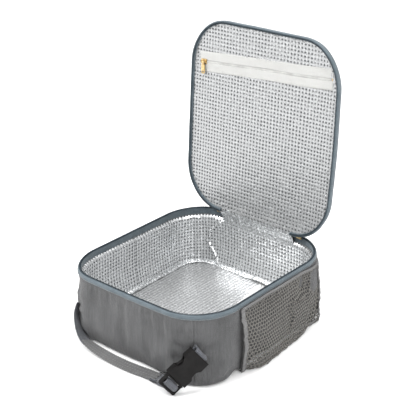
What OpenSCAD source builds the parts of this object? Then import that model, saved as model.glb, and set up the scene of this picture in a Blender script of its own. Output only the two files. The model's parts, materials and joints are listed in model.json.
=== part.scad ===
// Insulated cooler bag, lid open. Millimetres, +Z up.
// Origin: centre of the bottom face. The carry handle is on the -Y side, the lid hinge on the +Y side
// and the mesh pocket on the +X side. The lid parts are drawn closed and turned open about the hinge.

/* [Body] */
// Width of the body along X
body_w = 222; // [200:1:300]
// Depth of the body along Y
body_d = 241; // [220:1:320]
// Height from the ground to the top of the rim zip
body_h = 85; // [75:1:200]
// Outside radius of the upright corners
corner_r = 56; // [50:1:60]
// Height of the outer fabric
fabric_h = 80; // [68:1:80]
// Thickness of the outer fabric
fabric_t = 1; // [0.6:0.1:1]
// Thickness of the foam in the walls
foam_t = 5; // [4:0.5:8]
// Thickness of the foam under the floor
floor_foam_t = 6; // [3:0.5:10]
// Thickness of the foil lining
foil_t = 0.6; // [0.4:0.1:1]
// Where the corner seams lie, in degrees round the corner from the front or back wall
seam_angle = 36; // [20:1:45]

/* [Zip] */
// Thickness of the zip tape
tape_t = 0.8; // [0.6:0.1:0.8]
// Height of the rim tape inside the bag, where it can be seen
tape_seen = 11; // [8:1:12]
// Height of the zip coil
coil_h = 2.6; // [2:0.1:3]
// Thickness of the zip coil
coil_t = 2; // [1.6:0.1:2]
// Gap between the two coils when the lid is shut and the zip is open
coil_gap = 2; // [2:0.1:3]
// Half the width of the fabric hinge, where there is no zip
hinge_half_w = 55; // [45:1:55]
// Length of a slider along the zip
slider_l = 9; // [7:0.5:10]

/* [Lid] */
// Overall thickness of the lid
lid_t = 13; // [12:0.5:16]
// Depth of the recess between the lid's lower edge and its foil
lid_recess = 4.2; // [4:0.1:5]
// Angle of the lid from shut, as it stands
lid_open = 94; // [85:1:100]
// Length of the pocket zip in the lid
pocket_l = 194; // [150:1:194]
// Width of the pocket zip band
pocket_band = 25; // [20:1:30]
// Distance of the band's middle from the back edge of the lid
pocket_v = 193; // [150:1:194]
// Slant of the band in the lid's plane, its left end nearer the hinge
pocket_tilt = 4; // [0:1:5]

/* [Mesh pocket] */
// How far the mesh stands off the wall
mesh_gap = 7; // [5:0.5:12]
// Thickness of the mesh
mesh_t = 1; // [0.6:0.1:1.5]
// Front edge of the pocket
mesh_front_y = -60; // [-64:1:-30]
// Back edge of the pocket
mesh_back_y = 86; // [60:1:90]
// Height of the pocket's elastic hem
mesh_top = 78; // [50:1:78]

/* [Handle] */
// Height of the line that the handle swings about
handle_z = 50; // [45:1:52]
// Reach of the handle's middle in front of the wall
handle_reach = 14.5; // [13:0.5:20]
// Width of the handle band
band_w = 18; // [16:1:20]
// Thickness of the handle band
band_t = 4; // [3:0.5:5]
// Width of the webbing
web_w = 17; // [15:1:18]
// Thickness of the webbing
web_t = 1.5; // [1:0.1:2]

/* [Hidden] */

$fn = 64;
eps = 0.01;
far = 300;

foam_in = fabric_t + foam_t;
foil_in = foam_in + foil_t;
floor_z = fabric_t + floor_foam_t + foil_t;
lining_z = body_h - tape_seen;
tape_sewn = 4;
tape_lap = 1;
tape_out = fabric_t;
tape_in = fabric_t + tape_t;
coil_out = tape_in - tape_t / 2 - coil_t / 2 + 0.2;
coil_in = coil_out + coil_t;

corner_x = body_w / 2 - corner_r;
corner_y = body_d / 2 - corner_r;

// Hinge line of the lid: half the lid's thickness in from the back face, above the rim.
lid_z = body_h + coil_gap;
hinge_drop = 6.8;
hinge_y = body_d / 2 - lid_t / 2;
hinge_z = lid_z + hinge_drop;
hinge_round = 7.5;

slider_gap = 0.3;
slider_wall = 1;
slider_park = hinge_half_w + 7;
slider_top = body_h + 1;
slider_low = body_h - coil_h - 0.9;
pull_w = 6;
pull_l = 20;
pull_t = 1.2;
pin_r = 0.5;
pin_free = 0.1;
pin_out = 1.7;
pin_drop = 3.1;
ear_at = 2.2;
ear_t = 1;
ear_out = 3;
ear_h = 2.6;

foil_plane = lid_z + lid_recess;
lid_back = body_d / 2;
zip_band_y = lid_back - pocket_v;
small_slider_l = 8;
small_slider_w = 6.4;
small_slider_t = 1.2;
small_slider_out = 1.5;
small_pull_w = 5;
small_pull_l = 15;
small_pull_t = 1;
small_park = pocket_l / 2 - 2;
small_coil_w = 4;
small_coil_out = 0.7;
stop_w = 1.8;

pouch_above = 8;
pouch_drop = 130;
pouch_t = 1.3;
pouch_room = 0.1;
pouch_side = 2;

mesh_edge = 3;
mesh_foot = 2;
mesh_hem_h = 4;
mesh_hem_out = 0.4;
wall_gap = 0.05;
welt_w = 2.5;
welt_h = 2;

band_y = -body_d / 2 - handle_reach;
band_right = 56;
band_bend_x = -32;
band_bend_r = 90;
band_sweep = 16;
band_skin = 1;
ground_gap = 0.5;
seam_x = corner_x + corner_r * sin(seam_angle);
seam_y = corner_y + corner_r * cos(seam_angle);
tab_z = handle_z - 2 - web_w / 2;

// The side-release buckle lies on a slant: its own X is across it, Y runs from the
// socket's bar to the plug's bar, and Z is its thickness.
buckle_at = [98.3, -113, 41.6];
buckle_turn = [-83.8, -51.1, -125.4];
buckle_w = 27;
buckle_t = 8.4;
socket_l = 36;
socket_bar = 3;
socket_half = 10.6;
socket_half_t = 2.6;
slot_half = 9.2;
slot_l = 5;
window_0 = 12;
window_1 = 25;
notch_r = 8;
notch_depth = 3.5;
plug_end = 48;
plug_bar = 3;
bar_half_t = 1.6;
web_room = bar_half_t + web_t + 0.2;
bar_free = 0.3;
arm_half_t = 2;
arm_in = 6.8;
arm_root_out = 9.4;
arm_out = 11.9;

// ---- shapes used more than once ----

module rounded(w, d, r) {
    union() {
        square([w - 2 * r, d], center = true);
        square([w, d - 2 * r], center = true);
        for (sx = [-1, 1], sy = [-1, 1])
            translate([sx * (w / 2 - r), sy * (d / 2 - r)]) circle(r = r);
    }
}

module outline(inset) {
    rounded(body_w - 2 * inset, body_d - 2 * inset, corner_r - inset);
}

module plate(inset, z0, z1) {
    translate([0, 0, z0]) linear_extrude(z1 - z0) outline(inset);
}

module ring(outer, inner, z0, z1) {
    translate([0, 0, z0]) linear_extrude(z1 - z0) difference() {
        outline(outer);
        outline(inner);
    }
}

// Removes the stretch of the back wall that the hinge takes.
module without_hinge(half) {
    difference() {
        children();
        translate([-half, 0, -far]) cube([2 * half, far, 2 * far]);
    }
}

module only_hinge(half) {
    intersection() {
        children();
        translate([-half, 0, -far]) cube([2 * half, far, 2 * far]);
    }
}

function seam_far(sx, sy) = [
    sx * (corner_x + far * sin(seam_angle)),
    sy * (corner_y + far * cos(seam_angle)),
];

// The wedge of the plan between two neighbouring corner seams.
module panel_sector(a, b) {
    translate([0, 0, -far]) linear_extrude(2 * far) polygon([
        [a[0] * corner_x, a[1] * corner_y],
        seam_far(a[0], a[1]),
        seam_far(b[0], b[1]),
        [b[0] * corner_x, b[1] * corner_y],
    ]);
}

module outer_panel(a, b) {
    color("dimgray") intersection() {
        ring(0, fabric_t, fabric_t, fabric_h);
        panel_sector(a, b);
    }
}

// Turns a lid part from shut to the angle at which the lid stands, with the back edge
// rounded about the hinge line.
module lid_part() {
    translate([0, hinge_y, hinge_z]) rotate([-lid_open, 0, 0]) translate([0, -hinge_y, -hinge_z])
        difference() {
            children();
            difference() {
                translate([-far, hinge_y, hinge_z - far]) cube([2 * far, far, 2 * far]);
                translate([-far - 1, hinge_y, hinge_z]) rotate([0, 90, 0])
                    cylinder(r = hinge_round, h = 2 * far + 2, $fn = 96);
            }
        }
}

// ---- body ----

module outer_front() outer_panel([-1, -1], [1, -1]);
module outer_right() outer_panel([1, -1], [1, 1]);
module outer_back() outer_panel([1, 1], [-1, 1]);
module outer_left() outer_panel([-1, 1], [-1, -1]);

module outer_base() {
    color("dimgray") plate(0, 0, fabric_t);
}

module foam_walls() {
    color("white") union() {
        ring(fabric_t, foam_in, fabric_t + floor_foam_t, lining_z - tape_sewn);
        ring(tape_in, foam_in, lining_z - tape_sewn - eps, lining_z);
    }
}

module foam_floor() {
    color("white") plate(fabric_t, fabric_t, fabric_t + floor_foam_t);
}

module foil_walls() {
    color("silver") union() {
        ring(foam_in, foil_in, floor_z, lining_z);
        ring(tape_in, foil_in, lining_z, lining_z + foil_t);
    }
}

module foil_floor() {
    color("silver") plate(foam_in, fabric_t + floor_foam_t, floor_z);
}

// Rolled foil binding round the edge of the floor.
module floor_welt() {
    color("silver") ring(foil_in, foil_in + welt_w, floor_z, floor_z + welt_h);
}

module rim_tape() {
    color("slategray") without_hinge(hinge_half_w)
        ring(tape_out, tape_in, lining_z - tape_sewn, body_h - coil_h + tape_lap);
}

module rim_coil() {
    color("slategray") without_hinge(hinge_half_w) difference() {
        ring(coil_out, coil_in, body_h - coil_h, body_h);
        ring(tape_out, tape_in, body_h - coil_h - tape_lap, body_h - coil_h + tape_lap);
    }
}

module zip_stops() {
    color("darkgoldenrod") for (s = [-1, 1])
        translate([s * (hinge_half_w - 1) - stop_w / 2, body_d / 2 - coil_in, body_h - coil_h - 0.5])
            cube([stop_w, coil_t, coil_h - 0.5]);
}

module hinge_fabric() {
    color("dimgray") only_hinge(hinge_half_w - 2.2)
        ring(tape_out, tape_in, lining_z - tape_sewn, body_h - 1);
}

module hinge_foil() {
    color("silver") only_hinge(hinge_half_w - 0.4)
        ring(foam_in, foil_in, lining_z + foil_t, body_h - 1);
}

// ---- mesh pocket ----

module mesh_zone(y0, y1) {
    translate([corner_x, y0, -far]) cube([far, y1 - y0, 2 * far]);
}

module mesh_ring(z0, z1, out) {
    ring(-mesh_gap - out, -mesh_gap, z0, z1);
}

module mesh_panel() {
    color("gray") intersection() {
        union() {
            mesh_ring(mesh_foot, mesh_top - mesh_hem_h, mesh_t);
            ring(-mesh_gap - mesh_t, -wall_gap, mesh_foot, mesh_foot + mesh_t);
        }
        mesh_zone(mesh_front_y + mesh_edge, mesh_back_y - mesh_edge);
    }
}

module mesh_hem() {
    color("slategray") intersection() {
        mesh_ring(mesh_top - mesh_hem_h, mesh_top, mesh_t + mesh_hem_out);
        mesh_zone(mesh_front_y + mesh_edge, mesh_back_y - mesh_edge);
    }
}

module mesh_binding(y0, y1) {
    color("slategray") intersection() {
        ring(-mesh_gap - mesh_t, -wall_gap, mesh_foot, mesh_top);
        mesh_zone(y0, y1);
    }
}

module mesh_binding_front() mesh_binding(mesh_front_y, mesh_front_y + mesh_edge);
module mesh_binding_back() mesh_binding(mesh_back_y - mesh_edge, mesh_back_y);

// ---- main zip sliders ----

// A slider straddles the rim coil where the hinge ends. The coil's middle line is the
// corner arc, so both plates are arcs about the corner's centre.
module slider_arc(outer, inner, z0, z1) {
    span = slider_l / corner_r * 180 / PI;
    middle = asin((slider_park - corner_x) / corner_r);
    translate([corner_x, corner_y, z0]) rotate([0, 0, 90 - middle - span / 2])
        rotate_extrude(angle = span, $fn = 180)
            translate([corner_r - inner, 0]) square([inner - outer, z1 - z0]);
}

module slider(side) {
    mirror([side < 0 ? 1 : 0, 0, 0]) color("darkgoldenrod") union() {
        slider_arc(coil_out - slider_gap - slider_wall, coil_out - slider_gap, slider_low, slider_top);
        slider_arc(coil_in + slider_gap, coil_in + slider_gap + slider_wall, slider_low, slider_top);
        slider_arc(coil_out - slider_gap - slider_wall, coil_in + slider_gap + slider_wall,
            body_h + slider_gap, slider_top);
        slider_tangent() pull_ears();
    }
}

// Two ears with a pin between them, on a plate that faces +Y.
module pull_ears() {
    for (s = [-1, 1]) translate([s * ear_at - ear_t / 2, -0.2, -pin_drop - ear_h / 2])
        cube([ear_t, ear_out, ear_h]);
    translate([-ear_at, pin_out, -pin_drop]) rotate([0, 90, 0]) cylinder(r = pin_r, h = 2 * ear_at);
}

// Carries its children to the middle of the slider, X along the zip and +Y outwards,
// with y = 0 on the outer plate and z = 0 at the slider's top.
module slider_tangent() {
    middle = asin((slider_park - corner_x) / corner_r);
    out = corner_r - (coil_out - slider_gap - slider_wall);
    translate([corner_x, corner_y, slider_top]) rotate([0, 0, -middle])
        translate([0, out, 0]) children();
}

module pull(side) {
    mirror([side < 0 ? 1 : 0, 0, 0]) color("darkgoldenrod") slider_tangent()
        translate([0, pin_out, -pin_drop]) pull_shape(pull_w, pull_l, pull_t);
}

// A flat pull hanging from a pin along X through the origin, with a hole at the far end.
module pull_shape(w, l, t) {
    eye = 2.6;
    difference() {
        union() {
            translate([-eye / 2, 0, 0]) rotate([0, 90, 0]) cylinder(r = eye / 2, h = eye);
            translate([-eye / 2, -t / 2, -4]) cube([eye, t, 4]);
            translate([-w / 2, -t / 2, -l + w / 2]) cube([w, t, l - w / 2 - 3.5]);
            translate([0, t / 2, -l + w / 2]) rotate([90, 0, 0]) cylinder(r = w / 2, h = t);
        }
        translate([-eye, 0, 0]) rotate([0, 90, 0]) cylinder(r = pin_r + pin_free, h = 2 * eye);
        translate([0, t, -l + w / 2]) rotate([90, 0, 0]) cylinder(r = w / 4, h = 2 * t);
    }
}

module slider_left() slider(-1);
module slider_right() slider(1);
module pull_left() pull(-1);
module pull_right() pull(1);

// ---- lid ----

module lid_outer() {
    color("dimgray") lid_part() union() {
        plate(0, lid_z + lid_t - fabric_t, lid_z + lid_t);
        ring(0, fabric_t, lid_z + lid_t - 4, lid_z + lid_t - fabric_t + eps);
    }
}

module lid_foam() {
    color("white") lid_part() difference() {
        plate(tape_in, foil_plane + foil_t, lid_z + lid_t - fabric_t);
        pouch_space(0);
    }
}

// Moves a child drawn about the pocket zip's middle to its place, and to its slant.
module on_band() {
    translate([0, zip_band_y, 0]) rotate([0, 0, -pocket_tilt]) children();
}

// All of the lid's plane below the pocket zip, towards the hinge.
module below_band() {
    on_band() translate([-far, pocket_band / 2, 0]) cube([2 * far, 2 * far, far]);
}

module lid_foil_lower() {
    color("silver") lid_part() intersection() {
        plate(tape_in, foil_plane, foil_plane + foil_t);
        below_band();
    }
}

module lid_foil_upper() {
    color("silver") lid_part() difference() {
        plate(tape_in, foil_plane, foil_plane + foil_t);
        below_band();
        on_band() translate([-pocket_l / 2, -pocket_band / 2, 0]) cube([pocket_l, pocket_band + 1, far]);
    }
}

module lid_tape() {
    color("slategray") lid_part() without_hinge(hinge_half_w)
        ring(tape_out, tape_in, lid_z + coil_h - tape_lap, lid_z + lid_t - fabric_t);
}

module lid_coil() {
    color("slategray") lid_part() without_hinge(hinge_half_w) difference() {
        ring(coil_out, coil_in, lid_z, lid_z + coil_h);
        ring(tape_out, tape_in, lid_z + coil_h - tape_lap, lid_z + coil_h + tape_lap);
    }
}

// ---- zipped pocket in the lid ----

// A strip along the pocket zip, from y0 to y1 across it.
module pocket_strip(y0, y1, z0, z1, half) {
    color("ivory") lid_part() on_band() translate([-half, y0, z0]) cube([2 * half, y1 - y0, z1 - z0]);
}

module pocket_tape_lower() {
    pocket_strip(small_coil_w / 2, pocket_band / 2, foil_plane, foil_plane + foil_t, pocket_l / 2);
}

module pocket_tape_upper() {
    pocket_strip(-pocket_band / 2, -small_coil_w / 2, foil_plane, foil_plane + foil_t, pocket_l / 2);
}

module pocket_coil() {
    pocket_strip(-small_coil_w / 2, small_coil_w / 2, foil_plane - small_coil_out, foil_plane + foil_t,
        pocket_l / 2 - 2);
}

module pocket_stops() {
    color("darkgoldenrod") lid_part() on_band() for (s = [-1, 1])
        translate([s * (pocket_l / 2 - 1) - stop_w / 2, -small_coil_w / 2, foil_plane - small_coil_out])
            cube([stop_w, small_coil_w, small_coil_out + foil_t]);
}

// The flat space of the pouch behind the foil, smaller by the given room at its faces.
module pouch_space(room) {
    half = pocket_l / 2 - (room > 0 ? pouch_side : 0);
    on_band() translate([-half, -pouch_above, foil_plane + foil_t - eps + room])
        cube([2 * half, pouch_drop, pouch_t - 2 * room]);
}

module pocket_pouch() {
    color("ivory") lid_part() pouch_space(pouch_room);
}

// The slider hangs on the coil's face: a foot over the coil and two ears for the pull.
module at_pocket_slider() {
    lid_part() on_band()
        translate([-small_park + small_slider_l / 2, 0, foil_plane - small_coil_out]) children();
}

module pocket_slider() {
    color("darkgoldenrod") at_pocket_slider() union() {
        translate([-small_slider_l / 2, -small_slider_w / 2, -small_slider_out])
            cube([small_slider_l, small_slider_w, small_slider_t]);
        translate([0, 0, -small_slider_out]) rotate([-90, 0, 0]) translate([0, 0, pin_drop]) pull_ears();
    }
}

module pocket_pull() {
    color("darkgoldenrod") at_pocket_slider() translate([0, 0, -small_slider_out - pin_out])
        rotate([90, 0, 0]) pull_shape(small_pull_w, small_pull_l, small_pull_t);
}

// ---- handle ----

// Plan of the band: straight along the front wall, then bending back at its left end.
module band_plan(w) {
    translate([band_bend_x, band_y - w / 2]) square([band_right - band_bend_x, w]);
    translate([band_bend_x, band_y + band_bend_r]) intersection() {
        difference() {
            circle(r = band_bend_r + w / 2, $fn = 180);
            circle(r = band_bend_r - w / 2, $fn = 180);
        }
        polygon([[0, 0], [-far * sin(band_sweep), -far * cos(band_sweep)], [eps, -far]]);
    }
}

module handle_band() {
    color("gray") translate([0, 0, ground_gap]) difference() {
        linear_extrude(band_t) band_plan(band_w);
        translate([0, 0, band_skin]) linear_extrude(band_t - 2 * band_skin)
            band_plan(band_w - 2 * band_skin);
    }
}

module handle_core() {
    color("white") translate([0, 0, ground_gap + band_skin])
        linear_extrude(band_t - 2 * band_skin) band_plan(band_w - 2 * band_skin);
}

function along(a, b, c, t) = (1 - t) * (1 - t) * a + 2 * t * (1 - t) * b + t * t * c;

// A strip of webbing through three guide points, turning from one attitude to another.
module ribbon(points, turns, steps) {
    for (i = [0 : steps - 1]) hull() for (t = [i / steps, (i + 1) / steps])
        translate(along(points[0], points[1], points[2], t))
            rotate(along(turns[0], turns[1], turns[2], t))
                cube([0.6, web_w, web_t], center = true);
}

module handle_webbing_left() {
    butt = 0.35;
    end = [
        band_bend_x - band_bend_r * sin(band_sweep) - butt * cos(band_sweep),
        band_y + band_bend_r * (1 - cos(band_sweep)) + butt * sin(band_sweep),
        ground_gap + band_t / 2,
    ];
    color("lightslategray") ribbon(
        [end, [-84, -133, 12], [-seam_x - 1.2, -seam_y - 1.6, tab_z]],
        [[0, 0, 180 - band_sweep], [40, -80, 140], [90, 0, 90 - seam_angle]], 6);
}

// Carries its children to the buckle's own axes.
module at_buckle() {
    translate(buckle_at) rotate(buckle_turn) children();
}

// A loop of webbing round a bar that lies along X, with the bar's section left free.
module bar_loop(y0, y1, half_t) {
    difference() {
        translate([-web_w / 2, y0 - web_t, -half_t - web_t])
            cube([web_w, y1 - y0 + 2 * web_t, 2 * (half_t + web_t)]);
        translate([-web_w, y0, -half_t]) cube([2 * web_w, y1 - y0, 2 * half_t]);
    }
}

module handle_webbing_right() {
    color("lightslategray") union() {
        at_buckle() bar_loop(plug_end - plug_bar - bar_free, plug_end + bar_free, bar_half_t + bar_free);
        hull() {
            translate([band_right + 0.5, band_y, ground_gap + band_t / 2])
                cube([1, web_w, web_t], center = true);
            at_buckle() translate([0, plug_end + bar_free + web_t / 2, -web_t])
                cube([web_w, 0.6, web_t], center = true);
        }
    }
}

module female_webbing() {
    color("lightslategray") union() {
        at_buckle() bar_loop(0, socket_bar, bar_half_t);
        difference() {
            hull() {
                translate([seam_x + 0.9, -seam_y - 1.2, tab_z]) rotate([90, 0, seam_angle - 90])
                    cube([0.6, web_w, web_t], center = true);
                at_buckle() translate([0, 0.3 - web_t, -bar_half_t - web_t / 2])
                    cube([web_w - 1, 0.6, web_t - 0.3], center = true);
            }
            at_buckle() translate([-buckle_w, -wall_gap, -buckle_t / 2 - wall_gap])
                cube([2 * buckle_w, socket_l, buckle_w]);
        }
    }
}

// ---- side-release buckle ----

module buckle_female() {
    half = buckle_w / 2;
    notch_x = half + notch_r - notch_depth;
    color([0.15, 0.14, 0.14]) at_buckle() difference() {
        translate([-half, 0, -buckle_t / 2]) cube([buckle_w, socket_l, buckle_t]);
        // Room for the webbing behind the bar and round it, under the front face.
        translate([-slot_half, socket_bar, -buckle_t]) cube([2 * slot_half, slot_l, buckle_t + web_room]);
        translate([-slot_half, -1, bar_half_t])
            cube([2 * slot_half, socket_bar + 1 + eps, web_room - bar_half_t]);
        translate([-slot_half, -1, -bar_half_t - buckle_t])
            cube([2 * slot_half, socket_bar + 1 + eps, buckle_t]);
        // Socket, open at the plug's end.
        translate([-socket_half, socket_bar + slot_l + 3, -socket_half_t])
            cube([2 * socket_half, socket_l, 2 * socket_half_t]);
        // Side windows for the arms, with finger notches.
        translate([-buckle_w, window_0, -socket_half_t])
            cube([2 * buckle_w, window_1 - window_0, 2 * socket_half_t]);
        for (s = [-1, 1]) translate([s * notch_x, (window_0 + window_1) / 2, -buckle_t])
            cylinder(r = notch_r, h = 2 * buckle_t);
    }
}

module buckle_male() {
    flange_0 = socket_l + 0.4;
    color([0.15, 0.14, 0.14]) at_buckle() union() {
        difference() {
            translate([-11.5, flange_0, -buckle_t / 2]) cube([23, plug_end - flange_0, buckle_t]);
            translate([-slot_half, flange_0 + 4, -buckle_t])
                cube([2 * slot_half, plug_end - plug_bar - flange_0 - 4, 2 * buckle_t]);
            for (s = [-1, 1]) translate([-slot_half, plug_end - plug_bar - eps,
                    s > 0 ? bar_half_t : -bar_half_t - buckle_t])
                cube([2 * slot_half, plug_bar + 1, buckle_t]);
        }
        translate([-2, window_0 + 3, -1.2]) cube([4, flange_0 - window_0 - 3 + eps, 2.4]);
    }
}

// One sprung arm: a straight root, a shoulder that catches behind the window's edge, and a nose.
module buckle_arm(side) {
    root_y = socket_l + 0.1;
    color([0.15, 0.14, 0.14]) at_buckle() mirror([side < 0 ? 1 : 0, 0, 0])
        translate([0, 0, -arm_half_t]) linear_extrude(2 * arm_half_t) polygon([
            [arm_in, root_y],
            [arm_root_out, root_y],
            [arm_root_out, window_1 - 0.5],
            [arm_out, window_1 - 0.5],
            [arm_out, window_0 + 7],
            [arm_in + 1.8, window_0 + 1],
            [arm_in, window_0 + 1],
        ]);
}

module buckle_arm_upper() buckle_arm(1);
module buckle_arm_lower() buckle_arm(-1);

outer_front();
outer_left();
outer_right();
outer_back();
outer_base();
foam_walls();
foam_floor();
foil_walls();
foil_floor();
floor_welt();
rim_tape();
rim_coil();
zip_stops();
hinge_fabric();
hinge_foil();
mesh_panel();
mesh_hem();
mesh_binding_front();
mesh_binding_back();
slider_left();
pull_left();
slider_right();
pull_right();
lid_outer();
lid_foam();
lid_foil_lower();
lid_foil_upper();
lid_tape();
lid_coil();
pocket_tape_lower();
pocket_tape_upper();
pocket_coil();
pocket_stops();
pocket_pouch();
pocket_slider();
pocket_pull();
handle_band();
handle_core();
handle_webbing_left();
handle_webbing_right();
buckle_female();
female_webbing();
buckle_male();
buckle_arm_upper();
buckle_arm_lower();
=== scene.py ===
"""Looks of the insulated cooler bag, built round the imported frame. Metres, +Z up."""

import itertools
import json
import math

import bmesh
import bpy
import numpy as np
from mathutils import Matrix, Vector


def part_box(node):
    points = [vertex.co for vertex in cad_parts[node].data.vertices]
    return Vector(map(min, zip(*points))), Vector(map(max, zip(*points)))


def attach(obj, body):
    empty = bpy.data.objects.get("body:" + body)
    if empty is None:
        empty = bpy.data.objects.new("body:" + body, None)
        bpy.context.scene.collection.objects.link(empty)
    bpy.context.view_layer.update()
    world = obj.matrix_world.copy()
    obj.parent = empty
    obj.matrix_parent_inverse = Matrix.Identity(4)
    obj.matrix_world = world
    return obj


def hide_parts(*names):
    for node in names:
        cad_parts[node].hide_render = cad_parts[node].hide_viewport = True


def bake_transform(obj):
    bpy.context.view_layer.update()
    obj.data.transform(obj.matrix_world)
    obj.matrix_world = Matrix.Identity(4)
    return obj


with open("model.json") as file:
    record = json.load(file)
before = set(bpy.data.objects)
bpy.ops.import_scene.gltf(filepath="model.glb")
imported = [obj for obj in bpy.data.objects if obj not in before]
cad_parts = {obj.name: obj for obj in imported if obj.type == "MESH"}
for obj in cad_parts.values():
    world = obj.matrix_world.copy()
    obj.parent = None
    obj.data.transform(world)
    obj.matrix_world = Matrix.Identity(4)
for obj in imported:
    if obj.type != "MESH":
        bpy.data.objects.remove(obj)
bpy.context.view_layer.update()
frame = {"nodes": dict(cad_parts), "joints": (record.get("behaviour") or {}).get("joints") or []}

MM = 0.001

# ---- sizes ----

BODY_HALF_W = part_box("outer_base")[1].x
BODY_HALF_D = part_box("outer_base")[1].y
CORNER_R = 56 * MM
RIM_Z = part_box("rim_coil")[1].z
FABRIC_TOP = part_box("outer_front")[1].z
FOAM_IN = 6.4 * MM
FLOOR_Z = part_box("foil_floor")[1].z
HINGE_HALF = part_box("hinge_fabric")[1].x
SEAM_TURN = math.radians(36)

LID_OPEN = math.radians(94)
LID_HINGE = next(j for j in frame["joints"] if j["name"] == "lid_hinge")
HINGE_AT = Vector(LID_HINGE["pos_m"])
LID_LOW = RIM_Z + 2 * MM
LID_HIGH = LID_LOW + 13 * MM
FOIL_PLANE = LID_LOW + 4.2 * MM
POCKET_HALF = 97 * MM
POCKET_BAND = 25 * MM
POCKET_Y = BODY_HALF_D - 193 * MM

EMBOSS_PITCH = 4.7 * MM
EMBOSS_H = 0.6 * MM
LID_SLIM = (2.6 * MM, 3.6 * MM)
FOOT_SLIM = 4.8 * MM
SLIM_FROM = 66 * MM
CORNER_FULL_FRONT = 7.5 * MM
CORNER_FULL_BACK = 4.5 * MM
CORNER_FULL_LEFT = 3.0 * MM
BELLY = 1.5 * MM
FOOT_TUCK = 4.5 * MM
CLOTH_T = 0.8 * MM
TAPE_T = 0.5 * MM
ZIP_STEP = 1.6 * MM


# ---- noise ----

def hashed(ix, iy, seed):
    """A number between 0 and 1 that depends only on two whole numbers and a seed."""
    h = (ix * 374761393 + iy * 668265263 + seed * 1442695041) & 0xFFFFFFFF
    h = ((h ^ (h >> 13)) * 1274126177) & 0xFFFFFFFF
    return ((h ^ (h >> 16)) & 0xFFFF) / 65535.0


def noise(x, y, seed=0):
    """Smooth value noise between -1 and 1, one cell per unit."""
    x, y = np.broadcast_arrays(np.asarray(x, float), np.asarray(y, float))
    ix, iy = np.floor(x).astype(np.int64), np.floor(y).astype(np.int64)
    fx, fy = x - ix, y - iy
    fx, fy = fx * fx * (3 - 2 * fx), fy * fy * (3 - 2 * fy)
    low = hashed(ix, iy, seed) * (1 - fx) + hashed(ix + 1, iy, seed) * fx
    high = hashed(ix, iy + 1, seed) * (1 - fx) + hashed(ix + 1, iy + 1, seed) * fx
    return 2 * (low * (1 - fy) + high * fy) - 1


def creases(x, y, size, seed, folds=6):
    """Sharp folds that cross in many directions, as in crumpled foil, between -1 and 1."""
    rng = np.random.default_rng(seed)
    total = 0
    for k in range(folds):
        turn, rate = rng.uniform(0, math.pi), rng.uniform(0.6, 1.5) / size
        bend = 0.9 * noise(x / size * 0.7, y / size * 0.7, seed + k)
        t = (x * math.cos(turn) + y * math.sin(turn)) * rate + bend + rng.uniform(0, 1)
        total = total + np.abs(2 * (t - np.floor(t)) - 1)
    return total / folds * 2 - 1


def ease(x, low, high):
    """0 below low, 1 above high, smooth between."""
    t = np.clip((np.asarray(x, float) - low) / (high - low), 0, 1)
    return t * t * (3 - 2 * t)


def emboss(u, v):
    """The foil's relief on a square grid: 0 in the pits where the lines cross, 1 on the pillows."""
    a = np.sin(math.pi * u / EMBOSS_PITCH) ** 2
    b = np.sin(math.pi * v / EMBOSS_PITCH) ** 2
    return 0.7 * (1 - np.exp(-(a + b) / 0.3)) + 0.3 * np.sqrt(a * b)


def cubic_weights(f):
    """Shares of the four values round a place a fraction f past the second."""
    return [
        (-f + 2 * f**2 - f**3) / 2,
        (2 - 5 * f**2 + 3 * f**3) / 2,
        (f + 4 * f**2 - 3 * f**3) / 2,
        (f**3 - f**2) / 2,
    ]


def sample(values, row, col):
    """Smooth reading of a grid of values at fractional rows and columns."""
    row, col = np.broadcast_arrays(row, col)
    rows, cols = values.shape[:2]
    r = np.clip(np.floor(row).astype(int), 0, rows - 2)
    c = np.clip(np.floor(col).astype(int), 0, cols - 2)
    total = 0
    for i, a in enumerate(cubic_weights(row - r)):
        for j, b in enumerate(cubic_weights(col - c)):
            near = values[np.clip(r + i - 1, 0, rows - 1), np.clip(c + j - 1, 0, cols - 1)]
            total = total + (a * b)[..., None] * near
    return total


def unit(v):
    """Vectors brought to length 1."""
    return v / np.linalg.norm(v, axis=-1, keepdims=True)


def tangents(line):
    """Directions along a line of points."""
    return unit(np.gradient(line, axis=0))


def square_to(v, ahead):
    """Vectors with their share along ahead taken out, at length 1."""
    return unit(v - (v * ahead).sum(-1, keepdims=True) * ahead)


def gone_along(points):
    """Length from the first point of a line to each of its points."""
    return np.concatenate([[0], np.cumsum(np.linalg.norm(np.diff(points, axis=0), axis=1))])


def ellipse(half_x, half_y, sides):
    """A round section's points."""
    turn = np.arange(sides) * 2 * math.pi / sides
    return np.stack([half_x * np.cos(turn), half_y * np.sin(turn)], 1)


def hump(x, width):
    """A bell-shaped rise of height 1 about zero."""
    return np.exp(-((x / width) ** 2))


def polyline_gap(x, y, way):
    """Distance from a line through the given points, and the side of it each place is on."""
    best = np.full(np.shape(x), 1.0)
    side = np.zeros(np.shape(x))
    for (x0, y0), (x1, y1) in zip(way[:-1], way[1:]):
        dx, dy = x1 - x0, y1 - y0
        px, py = x - x0, y - y0
        t = np.clip((px * dx + py * dy) / (dx * dx + dy * dy), 0, 1)
        away = np.hypot(px - t * dx, py - t * dy)
        nearer = away < best
        best = np.where(nearer, away, best)
        side = np.where(nearer, np.sign(px * dy - py * dx), side)
    return best, side


# ---- outlines ----

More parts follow.
